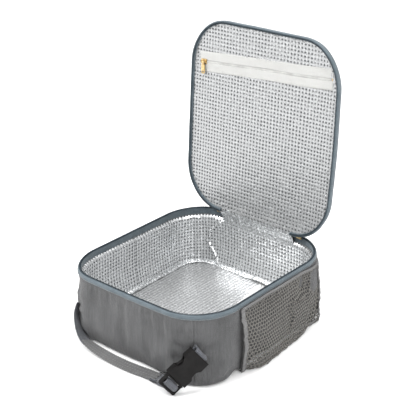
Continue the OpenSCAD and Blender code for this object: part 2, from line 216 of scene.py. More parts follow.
class Outline:
    """A rounded rectangle, walked anticlockwise by length from the middle of its front side."""

    def __init__(self, half_w, half_d, radius):
        self.half = np.array([half_w, half_d])
        self.r = radius
        self.a, self.b = half_w - radius, half_d - radius
        arc = radius * math.pi / 2
        self.parts = [self.a, arc, 2 * self.b, arc, 2 * self.a, arc, 2 * self.b, arc, self.a]
        self.starts = np.concatenate([[0], np.cumsum(self.parts)])
        self.length = self.starts[-1]

    def at(self, s):
        """(points, outward normals, how far round its corner each point is, from 0 to 1) at s."""
        s = np.mod(np.asarray(s, float), self.length)
        a, b, r = self.a, self.b, self.r
        w, d = self.half
        sides = {0: (0, -d, 1, 0), 2: (w, -b, 0, 1), 4: (a, d, -1, 0), 6: (-w, b, 0, -1), 8: (-a, -d, 1, 0)}
        corners = {1: (a, -b, -90), 3: (a, b, 0), 5: (-a, b, 90), 7: (-a, -b, 180)}
        xy, out = np.zeros(s.shape + (2,)), np.zeros(s.shape + (2,))
        round_it = np.zeros(s.shape)
        for k in range(9):
            here = (s >= self.starts[k]) & (s <= self.starts[k + 1])
            t = s[here] - self.starts[k]
            if k in sides:
                x, y, dx, dy = sides[k]
                xy[here] = np.stack([x + dx * t, y + dy * t], -1)
                out[here] = (dy, -dx)
            else:
                x, y, first = corners[k]
                turn = math.radians(first) + t / r
                out[here] = np.stack([np.cos(turn), np.sin(turn)], -1)
                xy[here] = np.array([x, y]) + r * out[here]
                round_it[here] = t / self.parts[k]
        return xy, out, round_it

    def distance(self, xy):
        """Distance outside the outline, negative inside, and its direction."""
        q = np.abs(xy) - (self.half - self.r)
        corner = np.maximum(q, 0)
        length = np.linalg.norm(corner, axis=-1)
        d = length + np.minimum(np.maximum(q[..., 0], q[..., 1]), 0) - self.r
        side = np.where((q[..., 0] > q[..., 1])[..., None], [1.0, 0.0], [0.0, 1.0])
        direction = np.where((length > 1e-9)[..., None], corner / np.maximum(length, 1e-9)[..., None], side)
        return d, direction * np.sign(xy)

    def inset(self, by):
        return Outline(self.half[0] - by, self.half[1] - by, self.r - by)


BODY = Outline(BODY_HALF_W, BODY_HALF_D, CORNER_R)
BACK_S = BODY.length / 2


def seam_lengths():
    """Where the four corner seams lie, by length round the body."""
    turned = CORNER_R * SEAM_TURN
    return [BODY.starts[k] + side * turned for k, side in ((1, 1), (4, -1), (5, 1), (8, -1))]


SEAMS = seam_lengths()


def around_body(s):
    """A length round the body brought to between minus and plus half a lap."""
    return np.mod(s + BODY.length / 2, BODY.length) - BODY.length / 2


def near_seam(s):
    """Distance along the outline from the nearest corner seam, with its sign."""
    gaps = np.stack([around_body(s - seam) for seam in SEAMS])
    return np.take_along_axis(gaps, np.abs(gaps).argmin(0)[None], 0)[0]


def fullness(s, z):
    """How far the soft wall stands outside its plain outline: full low corners, a belly and a tucked foot."""
    xy, _, corner = BODY.at(s)
    bent = np.sin(math.pi * corner)
    up = np.clip(z / RIM_Z, 0, 1)
    right_corner = np.where(xy[..., 1] > 0, CORNER_FULL_BACK, CORNER_FULL_FRONT)
    full = np.where(xy[..., 0] > 0, right_corner, CORNER_FULL_LEFT) * bent * (1 - up) ** 1.3
    belly = BELLY * np.sin(math.pi * up) * (1 + 0.5 * noise(s / 0.09, 0 * s, 5))
    tuck = FOOT_TUCK * (1 - bent) * (1 - ease(z, -8 * MM, 42 * MM))
    return full + belly - tuck


def away_from_hinge(s):
    """0 along the hinge, 1 well round the corner."""
    return ease(np.abs(np.mod(s, BODY.length) - BACK_S), 0.07, 0.13)


def rim_wave(s):
    """The rim's slow rise and fall, still at the hinge."""
    return 0.9 * MM * noise(s / 0.085, 0 * s, 3) * away_from_hinge(s)


def slim(x, left, right):
    """Draws the left and right sides in a little, as the zip curls the soft edge."""
    return x + left * ease(-x, SLIM_FROM, BODY_HALF_W) - right * ease(x, SLIM_FROM, BODY_HALF_W)


def body_point(s, inset, z):
    """A point of the soft body, at a length round it, a depth in from its face and a height."""
    s, inset, z = np.broadcast_arrays(np.asarray(s, float), np.asarray(inset, float), np.asarray(z, float))
    xy, out, _ = BODY.at(s)
    up = np.clip(z / RIM_Z, 0, 1)
    xy = xy + out * (fullness(s, z) - inset)[..., None]
    xy[..., 0] = slim(xy[..., 0], (3.6 + 1.2 * up) * MM, 0.6 * MM * up)
    return np.concatenate([xy, (z + rim_wave(s) * up)[..., None]], -1)


def open_lid(points):
    """Carries points of the shut lid to where the lid stands open."""
    p = np.asarray(points, float) - np.array(HINGE_AT)
    c, s = math.cos(LID_OPEN), math.sin(LID_OPEN)
    turned = np.stack([p[..., 0], p[..., 1] * c + p[..., 2] * s, -p[..., 1] * s + p[..., 2] * c], -1)
    return turned + np.array(HINGE_AT)


def lid_point(s, inset, z):
    """A point of the lid's edge, placed on the shut lid and carried to the open one."""
    s, inset, z = np.broadcast_arrays(np.asarray(s, float), np.asarray(inset, float), np.asarray(z, float))
    xy, out, _ = BODY.at(s)
    bow = 0.8 * MM * noise(s / 0.08, 0 * s, 17) * away_from_hinge(s)
    xy = xy + out * (bow - inset)[..., None]
    xy[..., 0] = slim(xy[..., 0], *LID_SLIM)
    return open_lid(np.concatenate([xy, z[..., None]], -1))


# ---- meshes ----

def add_object(name, data):
    """An object in the scene with that mesh, lamp or camera."""
    made = bpy.data.objects.new(name, data)
    bpy.context.scene.collection.objects.link(made)
    return made


def add_mesh(name, points, faces, uv, material, body=None, slot=None, smooth=True):
    """A mesh object from points, faces and one UV for each face corner."""
    mesh = bpy.data.meshes.new(name)
    mesh.from_pydata(np.asarray(points).reshape(-1, 3).tolist(), [], [list(face) for face in faces])
    if uv is not None:
        layer = mesh.uv_layers.new(name="Cloth")
        layer.data.foreach_set("uv", np.asarray(uv, np.float32).ravel())
    mesh.polygons.foreach_set("use_smooth", np.full(len(mesh.polygons), smooth))
    mesh.materials.append(material)
    mesh.update()
    piece = add_object(name, mesh)
    if body:
        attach(piece, body)
    return piece


def grid_corners(rows, cols, wrap=False):
    """Rows and columns of the four corners of each face in a grid."""
    r, c = np.meshgrid(np.arange(rows - 1), np.arange(cols if wrap else cols - 1), indexing="ij")
    r, c = r.ravel(), c.ravel()
    return [(r, c), (r, c + 1), (r + 1, c + 1), (r + 1, c)]


def grid(name, points, uv, material, wrap=False, flip=False, **more):
    """A sheet from rows and columns of points. With wrap the last column joins the first."""
    rows, cols = points.shape[:2]
    corners = grid_corners(rows, cols, wrap)
    if flip:
        corners = corners[::-1]
    faces = np.stack([a * cols + b % cols for a, b in corners], 1)
    corner_uv = np.stack([uv[a, b] for a, b in corners], 1)
    return add_mesh(name, points, faces.tolist(), corner_uv, material, **more)


def uv_grid(along, across):
    """UV for a grid, in metres of cloth: along for its columns and across for its rows."""
    u, v = np.meshgrid(along, across)
    return np.stack([u, v], -1)


def plate(outline, step, keep=None):
    """A flat square grid cut to an outline: its points, faces, and distance inside the edge."""
    w, d = outline.half
    nx, ny = int(round(2 * w / step)), int(round(2 * d / step))
    x, y = np.meshgrid(np.linspace(-w, w, nx + 1), np.linspace(-d, d, ny + 1))
    xy = np.stack([x, y], -1).reshape(-1, 2)
    away, _ = outline.distance(xy)
    inside = away < -0.35 * step
    if keep is not None:
        inside &= keep(xy)
    index = np.arange(len(xy)).reshape(ny + 1, nx + 1)
    faces = np.stack([index[:-1, :-1], index[:-1, 1:], index[1:, 1:], index[1:, :-1]], -1).reshape(-1, 4)
    faces = faces[inside[faces].all(1)]
    uses = np.bincount(faces.ravel(), minlength=len(xy))
    edge = (uses > 0) & (uses < 4)
    away, direction = outline.distance(xy)
    rim = edge & (away > -2.5 * step)
    xy[rim] -= (away[rim, None]) * direction[rim]
    used = np.nonzero(uses)[0]
    new_index = np.full(len(xy), -1)
    new_index[used] = np.arange(len(used))
    xy = xy[used]
    return xy, new_index[faces], -outline.distance(xy)[0]


def thicken(piece, thickness, offset=-1):
    """Gives a sheet its thickness, inward unless offset says otherwise."""
    m = piece.modifiers.new("thickness", "SOLIDIFY")
    m.thickness = thickness
    m.offset = offset


def soften(piece, width, segments):
    """Rounds a piece's edges."""
    edges = piece.modifiers.new("edges", "BEVEL")
    edges.width = width
    edges.segments = segments
    return edges


def tube_faces(rings, sides, wrap):
    """Faces of a tube with that many rings and sides."""
    last = rings if wrap else rings - 1
    r, k = np.meshgrid(np.arange(last), np.arange(sides), indexing="ij")
    r, k = r.ravel(), k.ravel()
    n, m = (r + 1) % rings, (k + 1) % sides
    return np.stack([r * sides + k, r * sides + m, n * sides + m, n * sides + k], 1)


def tube(name, centres, frames, profile, material, wrap=False, **more):
    """A closed profile swept along centres. frames are (across, up) at each centre."""
    across, up = frames
    rings, sides = len(centres), profile.shape[-2]
    shape = np.broadcast_to(profile, (rings, sides, 2))
    points = centres[:, None] + across[:, None] * shape[..., :1] + up[:, None] * shape[..., 1:]
    along = gone_along(centres)
    around = gone_along(np.concatenate([shape[0], shape[0][:1]]))
    faces = tube_faces(rings, sides, wrap)
    r, k = faces[:, 0] // sides, faces[:, 0] % sides
    far = along[r] + along[-1] / (rings - 1)
    corners = ((along[r], around[k]), (along[r], around[k + 1]), (far, around[k + 1]), (far, around[k]))
    uv = np.stack([np.stack(corner, -1) for corner in corners], 1)
    piece = add_mesh(name, points, faces.tolist(), uv, material, **more)
    if not wrap:
        cap_ends(piece.data, sides, rings * sides)
    return piece


def cap_ends(mesh, sides, total):
    """Closes a tube's two ends."""
    b = bmesh.new()
    b.from_mesh(mesh)
    b.verts.ensure_lookup_table()
    for ring in (range(sides - 1, -1, -1), range(total - sides, total)):
        b.faces.new([b.verts[i] for i in ring])
    bmesh.ops.recalc_face_normals(b, faces=b.faces)
    b.to_mesh(mesh)
    b.free()


def flat_profile(width, thickness, crown=0.0, points=9):
    """The section of a flat strap, with round edges, crowned on its upper side."""
    t = np.linspace(-1, 1, points)
    side = np.sqrt(np.clip(1 - np.abs(t) ** 6, 0, 1))
    top = np.stack([t * width / 2, thickness / 2 * side + crown * (1 - t * t)], -1)
    bottom = np.stack([t[::-1] * width / 2, -thickness / 2 * side[::-1]], -1)
    return np.concatenate([top, bottom[1:-1]])


def stitches(name, points, directions, ups, length, radius, material, **more):
    """A row of thread stitches, each a small arched capsule lying along its direction."""
    rings, sides = 5, 6
    t = np.linspace(-1, 1, rings)[:, None]
    size = np.array([0.45, 0.95, 1.0, 0.95, 0.45])[:, None, None]
    section = ellipse(radius, radius, sides) * size
    ups, directions = ups[:, None], directions[:, None]
    centre = points[:, None] + directions * t * length / 2 + ups * radius * 0.9 * (1 - t * t)
    sideways = np.cross(ups, directions)
    ring = centre[:, :, None] + sideways[:, None] * section[..., :1] + ups[:, None] * section[..., 1:]
    starts = np.arange(len(points)) * rings * sides
    faces = (tube_faces(rings, sides, False) + starts[:, None, None]).reshape(-1, 4)
    return add_mesh(name, ring, faces.tolist(), None, material, **more)


# ---- cloth simulation ----

SIM_SCALE = 10
SIM_FRAMES = 26
SIM_STIFFNESS = 12.0


def settle(points, pinned, slack, limit):
    """How a sheet held at its pinned points moves when it is cut a little too large.

    Points are rows and columns, and so is what comes back, in metres."""
    rows, cols = points.shape[:2]
    faces = np.stack([a * cols + b for a, b in grid_corners(rows, cols)], 1)
    mesh = bpy.data.meshes.new("settling")
    mesh.from_pydata((points.reshape(-1, 3) * SIM_SCALE).tolist(), [], faces.tolist())
    sheet = add_object("settling", mesh)
    held = sheet.vertex_groups.new(name="held")
    held.add([int(i) for i in np.nonzero(pinned.ravel())[0]], 1.0, "REPLACE")
    m = sheet.modifiers.new("cloth", "CLOTH")
    m.settings.vertex_group_mass = "held"
    m.settings.quality = 6
    m.settings.mass = 0.15
    m.settings.tension_stiffness = SIM_STIFFNESS
    m.settings.compression_stiffness = SIM_STIFFNESS
    m.settings.shear_stiffness = SIM_STIFFNESS / 3
    m.settings.bending_stiffness = 0.6
    m.settings.shrink_min = -slack
    m.collision_settings.use_collision = False
    m.point_cache.frame_start = 1
    m.point_cache.frame_end = SIM_FRAMES
    scene = bpy.context.scene
    for frame_number in range(1, SIM_FRAMES + 1):
        scene.frame_set(frame_number)
    done = sheet.evaluated_get(bpy.context.evaluated_depsgraph_get()).data
    after = np.empty(len(done.vertices) * 3)
    done.vertices.foreach_get("co", after)
    bpy.data.objects.remove(sheet)
    scene.frame_set(1)
    moved = after.reshape(rows, cols, 3) / SIM_SCALE - points
    size = np.linalg.norm(moved, axis=-1, keepdims=True)
    return moved * np.minimum(1, limit / np.maximum(size, 1e-9)) * (~pinned)[..., None]


# ---- materials ----

class Paint:
    """Builds a node material, a node at a time."""

    def __init__(self, name, colour, roughness, metallic=0.0):
        self.material = bpy.data.materials.new(name)
        self.material.use_nodes = True
        self.tree = self.material.node_tree
        self.shader = self.tree.nodes["Principled BSDF"]
        self.shader.inputs["Base Color"].default_value = (*colour, 1)
        self.shader.inputs["Roughness"].default_value = roughness
        self.shader.inputs["Metallic"].default_value = metallic
        self.height = None

    def node(self, kind, inputs=None, **settings):
        n = self.tree.nodes.new(kind)
        for key, value in settings.items():
            setattr(n, key, value)
        for key, value in (inputs or {}).items():
            self.put(value, n.inputs[key])
        return n

    def put(self, value, socket):
        if isinstance(value, bpy.types.NodeSocket):
            self.tree.links.new(value, socket)
        else:
            socket.default_value = value

    def place(self, cloth=False):
        """Object coordinates, or the cloth's own UV in metres."""
        if cloth:
            return self.node("ShaderNodeUVMap", uv_map="Cloth").outputs[0]
        return self.node("ShaderNodeTexCoord").outputs["Object"]

    def scaled(self, vector, scale):
        return self.node("ShaderNodeMapping", {"Vector": vector, "Scale": scale}).outputs[0]

    def math(self, operation, a, b=0.0):
        return self.node("ShaderNodeMath", {0: a, 1: b}, operation=operation).outputs[0]

    def weighed(self, *parts):
        """The sum of (value, weight) pairs."""
        shares = [self.math("MULTIPLY", value, weight) for value, weight in parts]
        total = shares[0]
        for share in shares[1:]:
            total = self.math("ADD", total, share)
        return total

    def noise(self, vector, size, detail):
        """Cloudy noise, with its largest cells that size in metres."""
        inputs = {"Vector": vector, "Scale": 1 / size, "Detail": detail, "Roughness": 0.5}
        return self.node("ShaderNodeTexNoise", inputs).outputs[0]

    def cells(self, vector, size, feature="F1"):
        n = self.node("ShaderNodeTexVoronoi", {"Vector": vector, "Scale": 1 / size}, feature=feature)
        return n.outputs["Distance"]

    def wave(self, vector, axis, pitch, distortion=0.0):
        """Soft lines across an axis, a pitch apart in metres."""
        inputs = {"Vector": vector, "Scale": math.pi / 10 / pitch, "Distortion": distortion}
        return self.node("ShaderNodeTexWave", inputs, bands_direction=axis).outputs["Fac"]

    def ramp(self, factor, low, high, a=0.0, b=1.0):
        inputs = {"Value": factor, "From Min": low, "From Max": high, "To Min": a, "To Max": b}
        return self.node("ShaderNodeMapRange", inputs).outputs[0]

    def mix(self, factor, a, b):
        n = self.node("ShaderNodeMix", data_type="RGBA")
        for socket, value in ((n.inputs[0], factor), (n.inputs[6], a), (n.inputs[7], b)):
            self.put((*value, 1) if isinstance(value, tuple) and len(value) == 3 else value, socket)
        return n.outputs[2]

    def colour(self, value):
        self.put(value, self.shader.inputs["Base Color"])

    def roughness(self, value):
        self.put(value, self.shader.inputs["Roughness"])

    def bump(self, height, distance, strength=1.0):
        inputs = {"Height": height, "Distance": distance, "Strength": strength}
        if self.height is not None:
            inputs["Normal"] = self.height
        self.height = self.node("ShaderNodeBump", inputs).outputs[0]
        self.put(self.height, self.shader.inputs["Normal"])


def woven(p, vector, warp, weft):
    """Height of a plain weave, threads a warp and a weft pitch apart."""
    a, b = p.wave(vector, "X", warp), p.wave(vector, "Y", weft)
    over = p.math("MULTIPLY", a, p.math("SUBTRACT", 1.0, b))
    under = p.math("MULTIPLY", b, p.math("SUBTRACT", 1.0, a))
    return p.math("ADD", over, under)


def cloth_material(name, dark, light, thread=0.55 * MM, streak=0.35):
    """Woven polyester: threads, streaks along the warp and slow changes of tone."""
    p = Paint(name, light, 0.82)
    uv = p.place(cloth=True)
    threads = woven(p, uv, thread, thread)
    streaks = p.noise(p.scaled(uv, (1 / (1.1 * MM), 1 / (26 * MM), 1)), 1.0, 3)
    fine = p.noise(p.scaled(uv, (1 / (0.5 * MM), 1 / (7 * MM), 1)), 1.0, 2)
    cloud = p.noise(uv, 45 * MM, 3)
    tone = p.weighed((streaks, streak), (fine, 0.22), (cloud, 0.4), (threads, 0.2))
    p.colour(p.mix(p.ramp(tone, 0.34, 0.74), dark, light))
    p.roughness(p.ramp(cloud, 0.3, 0.7, 0.76, 0.88))
    p.shader.inputs["Sheen Weight"].default_value = 0.15
    p.shader.inputs["Sheen Roughness"].default_value = 0.45
    p.bump(p.noise(uv, 9 * MM, 3), 0.5 * MM, 0.35)
    p.bump(threads, 0.16 * MM, 0.8)
    return p.material


def foil_material(name, pit_shade=0.95, line=0.1, wrinkle=0.3, bright=0.6, metallic=0.6, press=0.8):
    """Embossed foil laminate: bright metal with painted shade in the pressed pits and along the pressed
    lines, finely crinkled.
    """
    tint = (bright * 0.985, bright, bright * 1.01)
    p = Paint(name, tint, 0.3, metallic)
    uv = p.place(cloth=True)
    parts = p.node("ShaderNodeSeparateXYZ", {0: uv})
    squares = []
    for axis in (0, 1):
        turn = p.math("MULTIPLY", parts.outputs[axis], math.pi / EMBOSS_PITCH)
        wave = p.math("SINE", turn)
        squares.append(p.math("MULTIPLY", wave, wave))
    away = p.math("ADD", *squares)
    patch = p.noise(uv, 16 * MM, 3)
    ragged = p.noise(uv, 1.4 * MM, 2)
    shaped = p.math("ADD", away, p.math("MULTIPLY", p.math("SUBTRACT", ragged, 0.5), 0.9))
    # painted shade: dark dots in the pits where the emboss lines cross, in random patches, standing in for
    # the shade and dark reflection in the dimples
    pits = p.math("MULTIPLY", p.ramp(shaped, 0.25, 0.85, 1.0, 0.0), p.ramp(patch, 0.3, 0.55, 0.45, 1.0))
    # painted shade along the pressed lines of the emboss, leaving lighter strips between them
    lines = p.ramp(squares[0], 0.0, 0.45, 1.0, 0.0)
    worn = p.noise(uv, 3 * MM, 4)
    base = p.mix(p.ramp(worn, 0.35, 0.7), tuple(c * 0.8 for c in tint), tuple(c * 1.08 for c in tint))
    # the painted shade along the pressed lines goes into the colour here
    base = p.mix(p.math("MULTIPLY", lines, line), base, (0.12, 0.125, 0.13))
    # the painted shade in the pits goes into the colour here
    p.colour(p.mix(p.math("MULTIPLY", pits, pit_shade), base, (0.03, 0.032, 0.035)))
    p.roughness(p.ramp(worn, 0.3, 0.75, 0.17, 0.36))
    if wrinkle > 0:
        p.bump(p.cells(uv, 6 * MM, "DISTANCE_TO_EDGE"), 1.4 * MM, 0.5 * wrinkle)
        p.bump(p.noise(uv, 2.2 * MM, 4), 0.5 * MM, 0.7 * wrinkle)
    p.bump(p.ramp(away, 0.0, 0.7), 0.5 * MM, press)
    return p.material


def tape_material(name, dark, light):
    """Zip tape: fine ribs along the tape."""
    p = Paint(name, light, 0.7)
    uv = p.place(cloth=True)
    threads = woven(p, uv, 0.8 * MM, 0.64 * MM)
    tone = p.weighed((threads, 0.45), (p.noise(uv, 12 * MM, 4), 0.6))
    p.colour(p.mix(p.ramp(tone, 0.25, 0.8), dark, light))
    p.shader.inputs["Sheen Weight"].default_value = 0.2
    p.bump(threads, 0.2 * MM, 0.8)
    return p.material


def webbing_material(name, dark, light):
    """Woven webbing: cords along the strap and finer threads across it."""
    p = Paint(name, light, 0.6)
    uv = p.place(cloth=True)
    ribs = p.wave(uv, "Y", 1.55 * MM, 0.4)
    threads = p.wave(uv, "X", 0.8 * MM)
    tone = p.weighed((ribs, 0.7), (p.noise(uv, 9 * MM, 4), 0.4))
    p.colour(p.mix(p.ramp(tone, 0.15, 0.85), dark, light))
    p.shader.inputs["Sheen Weight"].default_value = 0.25
    p.bump(threads, 0.15 * MM, 0.5)
    p.bump(ribs, 0.6 * MM, 1.0)
    return p.material


def plastic_material(name, colour, roughness=0.38, specular=0.3):
    """Moulded plastic with a fine grain."""
    p = Paint(name, colour, roughness)
    place = p.place()
    grain = p.noise(place, 0.6 * MM, 3)
    handled = p.noise(place, 9 * MM, 3)
    p.colour(p.mix(p.ramp(handled, 0.35, 0.7), colour, tuple(c * 1.5 + 0.002 for c in colour)))
    p.roughness(p.ramp(handled, 0.3, 0.7, roughness - 0.06, roughness + 0.12))
    p.shader.inputs["Specular IOR Level"].default_value = specular
    p.bump(grain, 0.06 * MM, 0.35)
    return p.material


def brass_material(name):
    """Plated brass, satin, a little dull in patches."""
    p = Paint(name, (0.62, 0.44, 0.2), 0.3, 1.0)
    place = p.place()
    patch = p.noise(place, 2.5 * MM, 4)
    p.colour(p.mix(p.ramp(patch, 0.35, 0.7), (0.42, 0.29, 0.13), (0.78, 0.6, 0.32)))
    p.roughness(p.ramp(patch, 0.3, 0.7, 0.22, 0.45))
    p.bump(p.noise(place, 0.5 * MM, 2), 0.04 * MM, 0.4)
    return p.material


def thread_material(name, colour):
    """Twisted sewing thread."""
    p = Paint(name, colour, 0.75)
    twist = p.noise(p.place(), 0.35 * MM, 2)
    p.colour(p.mix(p.ramp(twist, 0.3, 0.7), tuple(c * 0.6 for c in colour), colour))
    p.bump(twist, 0.05 * MM, 0.6)
    return p.material


def foam_material(name):
    """Closed-cell foam."""
    p = Paint(name, (0.85, 0.85, 0.84), 0.8)
    bubbles = p.cells(p.place(), 1.2 * MM)
    p.colour(p.mix(p.ramp(bubbles, 0.1, 0.6), (0.9, 0.9, 0.89), (0.72, 0.72, 0.71)))
    p.bump(bubbles, 0.25 * MM, 0.6)
    return p.material


OUTER = cloth_material("OuterCloth", (0.03, 0.0305, 0.0315), (0.135, 0.136, 0.139), streak=0.25)
BAND_CLOTH = cloth_material("BandCloth", (0.07, 0.07, 0.071), (0.185, 0.185, 0.186), streak=0.2)
BINDING = cloth_material("BindingCloth", (0.085, 0.084, 0.085), (0.19, 0.188, 0.187), thread=0.7 * MM)
MESH_YARN = cloth_material("MeshYarn", (0.085, 0.081, 0.074), (0.185, 0.176, 0.16), thread=0.4 * MM)
CREAM = cloth_material("PocketTape", (0.49, 0.49, 0.475), (0.59, 0.59, 0.575), thread=0.45 * MM, streak=0.15)
POUCH = cloth_material("PouchCloth", (0.66, 0.65, 0.62), (0.8, 0.79, 0.76))
TAPE = tape_material("ZipTape", (0.05, 0.072, 0.088), (0.135, 0.172, 0.195))
COIL = plastic_material("ZipCoil", (0.018, 0.028, 0.036), 0.45)
CREAM_COIL = plastic_material("PocketCoil", (0.56, 0.56, 0.545), 0.45)
# pit and line set how dark the painted shade is in the emboss pits and along the pressed lines
FOIL = foil_material("LidFoil", bright=0.47, metallic=0.35)
WALL_FOIL = foil_material("WallFoil", pit_shade=0.85, line=0.35, wrinkle=0.35, bright=0.89, metallic=0.75)
FLOOR_FOIL = foil_material("FloorFoil", pit_shade=0.25, line=0.55, wrinkle=0, bright=0.49, metallic=0.28, press=0.2)
CRUSHED_FOIL = foil_material("CrushedFoil", pit_shade=0.35, line=0.1, wrinkle=1.4, bright=0.85, metallic=0.9)
WEBBING = webbing_material("Webbing", (0.012, 0.013, 0.017), (0.11, 0.12, 0.145))
BUCKLE = plastic_material("BucklePlastic", (0.006, 0.0055, 0.0055), 0.34, specular=0.12)
BRASS = brass_material("Brass")
GREY_THREAD = thread_material("GreyThread", (0.26, 0.26, 0.255))
WHITE_THREAD = thread_material("WhiteThread", (0.7, 0.7, 0.68))
FOAM = foam_material("Foam")

ROOT, LID = "body_shell", "lid"
CLOTH_STEP = 1.5 * MM
FOOT_R = 5 * MM
WALL_SIM_STEP = 3.5 * MM
WALL_SIM_ROWS = 24
DEEPEST_DENT = 2.8 * MM
ANCHOR_Z = 36 * MM
TAPE_FOOT = 79 * MM
HINGE_SPAN = HINGE_HALF + 2 * MM


# ---- outer cloth ----

def cloth_relief(s, z):
    """Dents, seam pinches and drag lines of the outer cloth, outward."""
    gap = near_seam(s)
    dents = 2.0 * MM * noise(s / 0.06 + 0.4 * noise(z / 0.03, s / 0.05, 18), z / 0.045, 11)
    dents += 0.7 * MM * noise(s / 0.022, z / 0.018, 12)
    pinch = 0.4 * MM * hump(np.abs(gap) - 4 * MM, 2 * MM) - 1.5 * MM * hump(gap, 1.3 * MM)
    folds = 1.2 * MM * np.exp(-np.abs(gap) / 0.02) * noise(gap / 0.045 + 40, z / 0.009, 13)
    slant = 1.0 * MM * noise((s + 0.9 * z) / 0.03, (z - 0.5 * s) / 0.11, 19)
    under_tape = 0.5 * MM * np.exp(-(TAPE_FOOT - z) / (7 * MM)) * noise(s / 0.006, 0 * s, 14)
    foot = 0.6 * MM * np.exp(-z / (9 * MM)) * noise(s / 0.011, 0 * s, 15)
    drag = 0
    for anchor in (SEAMS[0], SEAMS[3]):
        ds, dz = around_body(s - anchor), z - ANCHOR_Z
        away = np.hypot(ds, dz)
        turn = np.arctan2(dz, np.abs(ds))
        spokes = np.cos(turn * 6 + 2 * noise(away / 0.02, turn, 16)) * ease(away, 0, 0.008)
        drag = drag + 1.6 * MM * (np.exp(-away / 0.03) * spokes - hump(away, 11 * MM))
    return dents + pinch + folds + slant + under_tape + foot + drag


def wall_cloth(name, start, end, node):
    """One wall between two corner seams, rounded under at its foot."""
    s = np.linspace(start, end, int((end - start) / CLOTH_STEP) + 1)
    bend = np.linspace(0, math.pi / 2, 6)[:-1]
    foot_in, foot_z = FOOT_R * (1 - np.sin(bend)), FOOT_R * (1 - np.cos(bend)) + 0.3 * MM
    up = np.linspace(FOOT_R + 0.3 * MM, FABRIC_TOP + 1 * MM, int(FABRIC_TOP / CLOTH_STEP))
    inset = np.concatenate([foot_in, 0 * up])
    z = np.concatenate([foot_z, up])
    S, Z = np.meshgrid(s, z)
    calm = ease(Z, -1 * MM, 6 * MM) * (1 - 0.7 * ease(Z, 70 * MM, 79 * MM))
    points = body_point(S, inset[:, None] - np.maximum(cloth_relief(S, Z), -DEEPEST_DENT) * calm, Z)
    rest_s = np.linspace(start, end, int((end - start) / WALL_SIM_STEP) + 1)
    rest_z = np.linspace(0, FABRIC_TOP, WALL_SIM_ROWS)
    rest = body_point(*np.broadcast_arrays(rest_s[None], 0.0, rest_z[:, None]))
    held = np.zeros(rest.shape[:2], bool)
    held[[0, -1]] = held[:, [0, -1]] = True
    moved = settle(rest, held, slack=0.012, limit=1.4 * MM)
    row, col = Z / FABRIC_TOP * (WALL_SIM_ROWS - 1), (S - start) / (end - start) * (len(rest_s) - 1)
    points += sample(moved, row, col)
    piece = grid(name, points, uv_grid(s, z), OUTER, body=ROOT, slot="outer_fabric")
    thicken(piece, CLOTH_T)
    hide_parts(node)


def outer_cloth():
    """The four walls and the base."""
    a, b, c, d = SEAMS
    for side, start, end in (("front", d - BODY.length, a), ("right", a, b), ("back", b, c), ("left", c, d)):
        wall_cloth("cloth_" + side, start, end, "outer_" + side)
    foot = Outline(BODY_HALF_W - 9 * MM, BODY_HALF_D - 9 * MM, 38 * MM)
    xy, faces, inside = plate(foot, 3 * MM)
    rise = 0.6 + 0.4 * noise(xy[:, 0] / 0.04, xy[:, 1] / 0.04, 21)
    z = 0.35 * MM + 0.9 * MM * ease(inside, 0, 0.03) * rise
    points = np.concatenate([slim(xy[:, :1], FOOT_SLIM, 0), xy[:, 1:], z[:, None]], 1)
    faces = faces[:, ::-1]
    base = add_mesh("cloth_base", points, faces.tolist(), xy[faces], OUTER, body=ROOT, slot="outer_fabric")
    thicken(base, CLOTH_T)
    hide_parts("outer_base")


# ---- foam ----

def foam_ring():
    """The foam of the walls, a ring just inside the cloth."""
    s = np.linspace(0, BODY.length, 181)[:-1]
    rise = np.linspace(9, 72, 14) * MM
    z = np.concatenate([rise, rise[::-1], rise[:1]])
    inset = np.where(np.arange(len(z)) % (len(z) - 1) < len(rise), 4.9, 5.9) * MM
    S, Z = np.meshgrid(s, z)
    uv = uv_grid(np.append(s, BODY.length), np.arange(len(z)) * 5 * MM)
    points = body_point(S, inset[:, None], Z)
    piece = grid("foam_wall_pad", points, uv, FOAM, wrap=True, flip=True, body=ROOT, slot="foam")
    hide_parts("foam_walls")


def foam_plate(name, outline, low, high, node, body, shut=False):
    """A flat foam pad with softened edges, as one closed form."""
    xy, faces, inside = plate(outline, 5 * MM)
    soft = 0.8 * MM * (1 - ease(inside, 0, 4 * MM))
    top = np.concatenate([xy, (high - soft)[:, None]], 1)
    bottom = np.concatenate([xy, (low + soft)[:, None]], 1)
    count = len(xy)
    edges = np.concatenate([faces[:, [k, (k + 1) % 4]] for k in range(4)])
    _, first, uses = np.unique(np.sort(edges, 1), axis=0, return_index=True, return_counts=True)
    a, b = edges[first[uses == 1]].T
    every = np.concatenate([faces, faces[:, ::-1] + count, np.stack([b, a, a + count, b + count], 1)])
    points = np.concatenate([top, bottom])
    if shut:
        points = open_lid(points)
    else:
        points[:, 0] = slim(points[:, 0], FOOT_SLIM, 0)
    uv = np.concatenate([xy, xy])[every]
    piece = add_mesh(name, points, every.tolist(), uv, FOAM, body=body, slot="foam")
    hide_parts(node)


# ---- foil lining ----

FOIL_STEP = 0.8 * MM
FOIL_TURN_Z = 69 * MM


def fold_line(s, z):
    """The loose fold from the hinge's left end down the back corner to the floor."""
    way = np.array([[-6, 78], [6, 66], [22, 52], [27, 40], [16, 26], [4, 8]]) * MM
    return polyline_gap(s - BODY.starts[5], z, way)


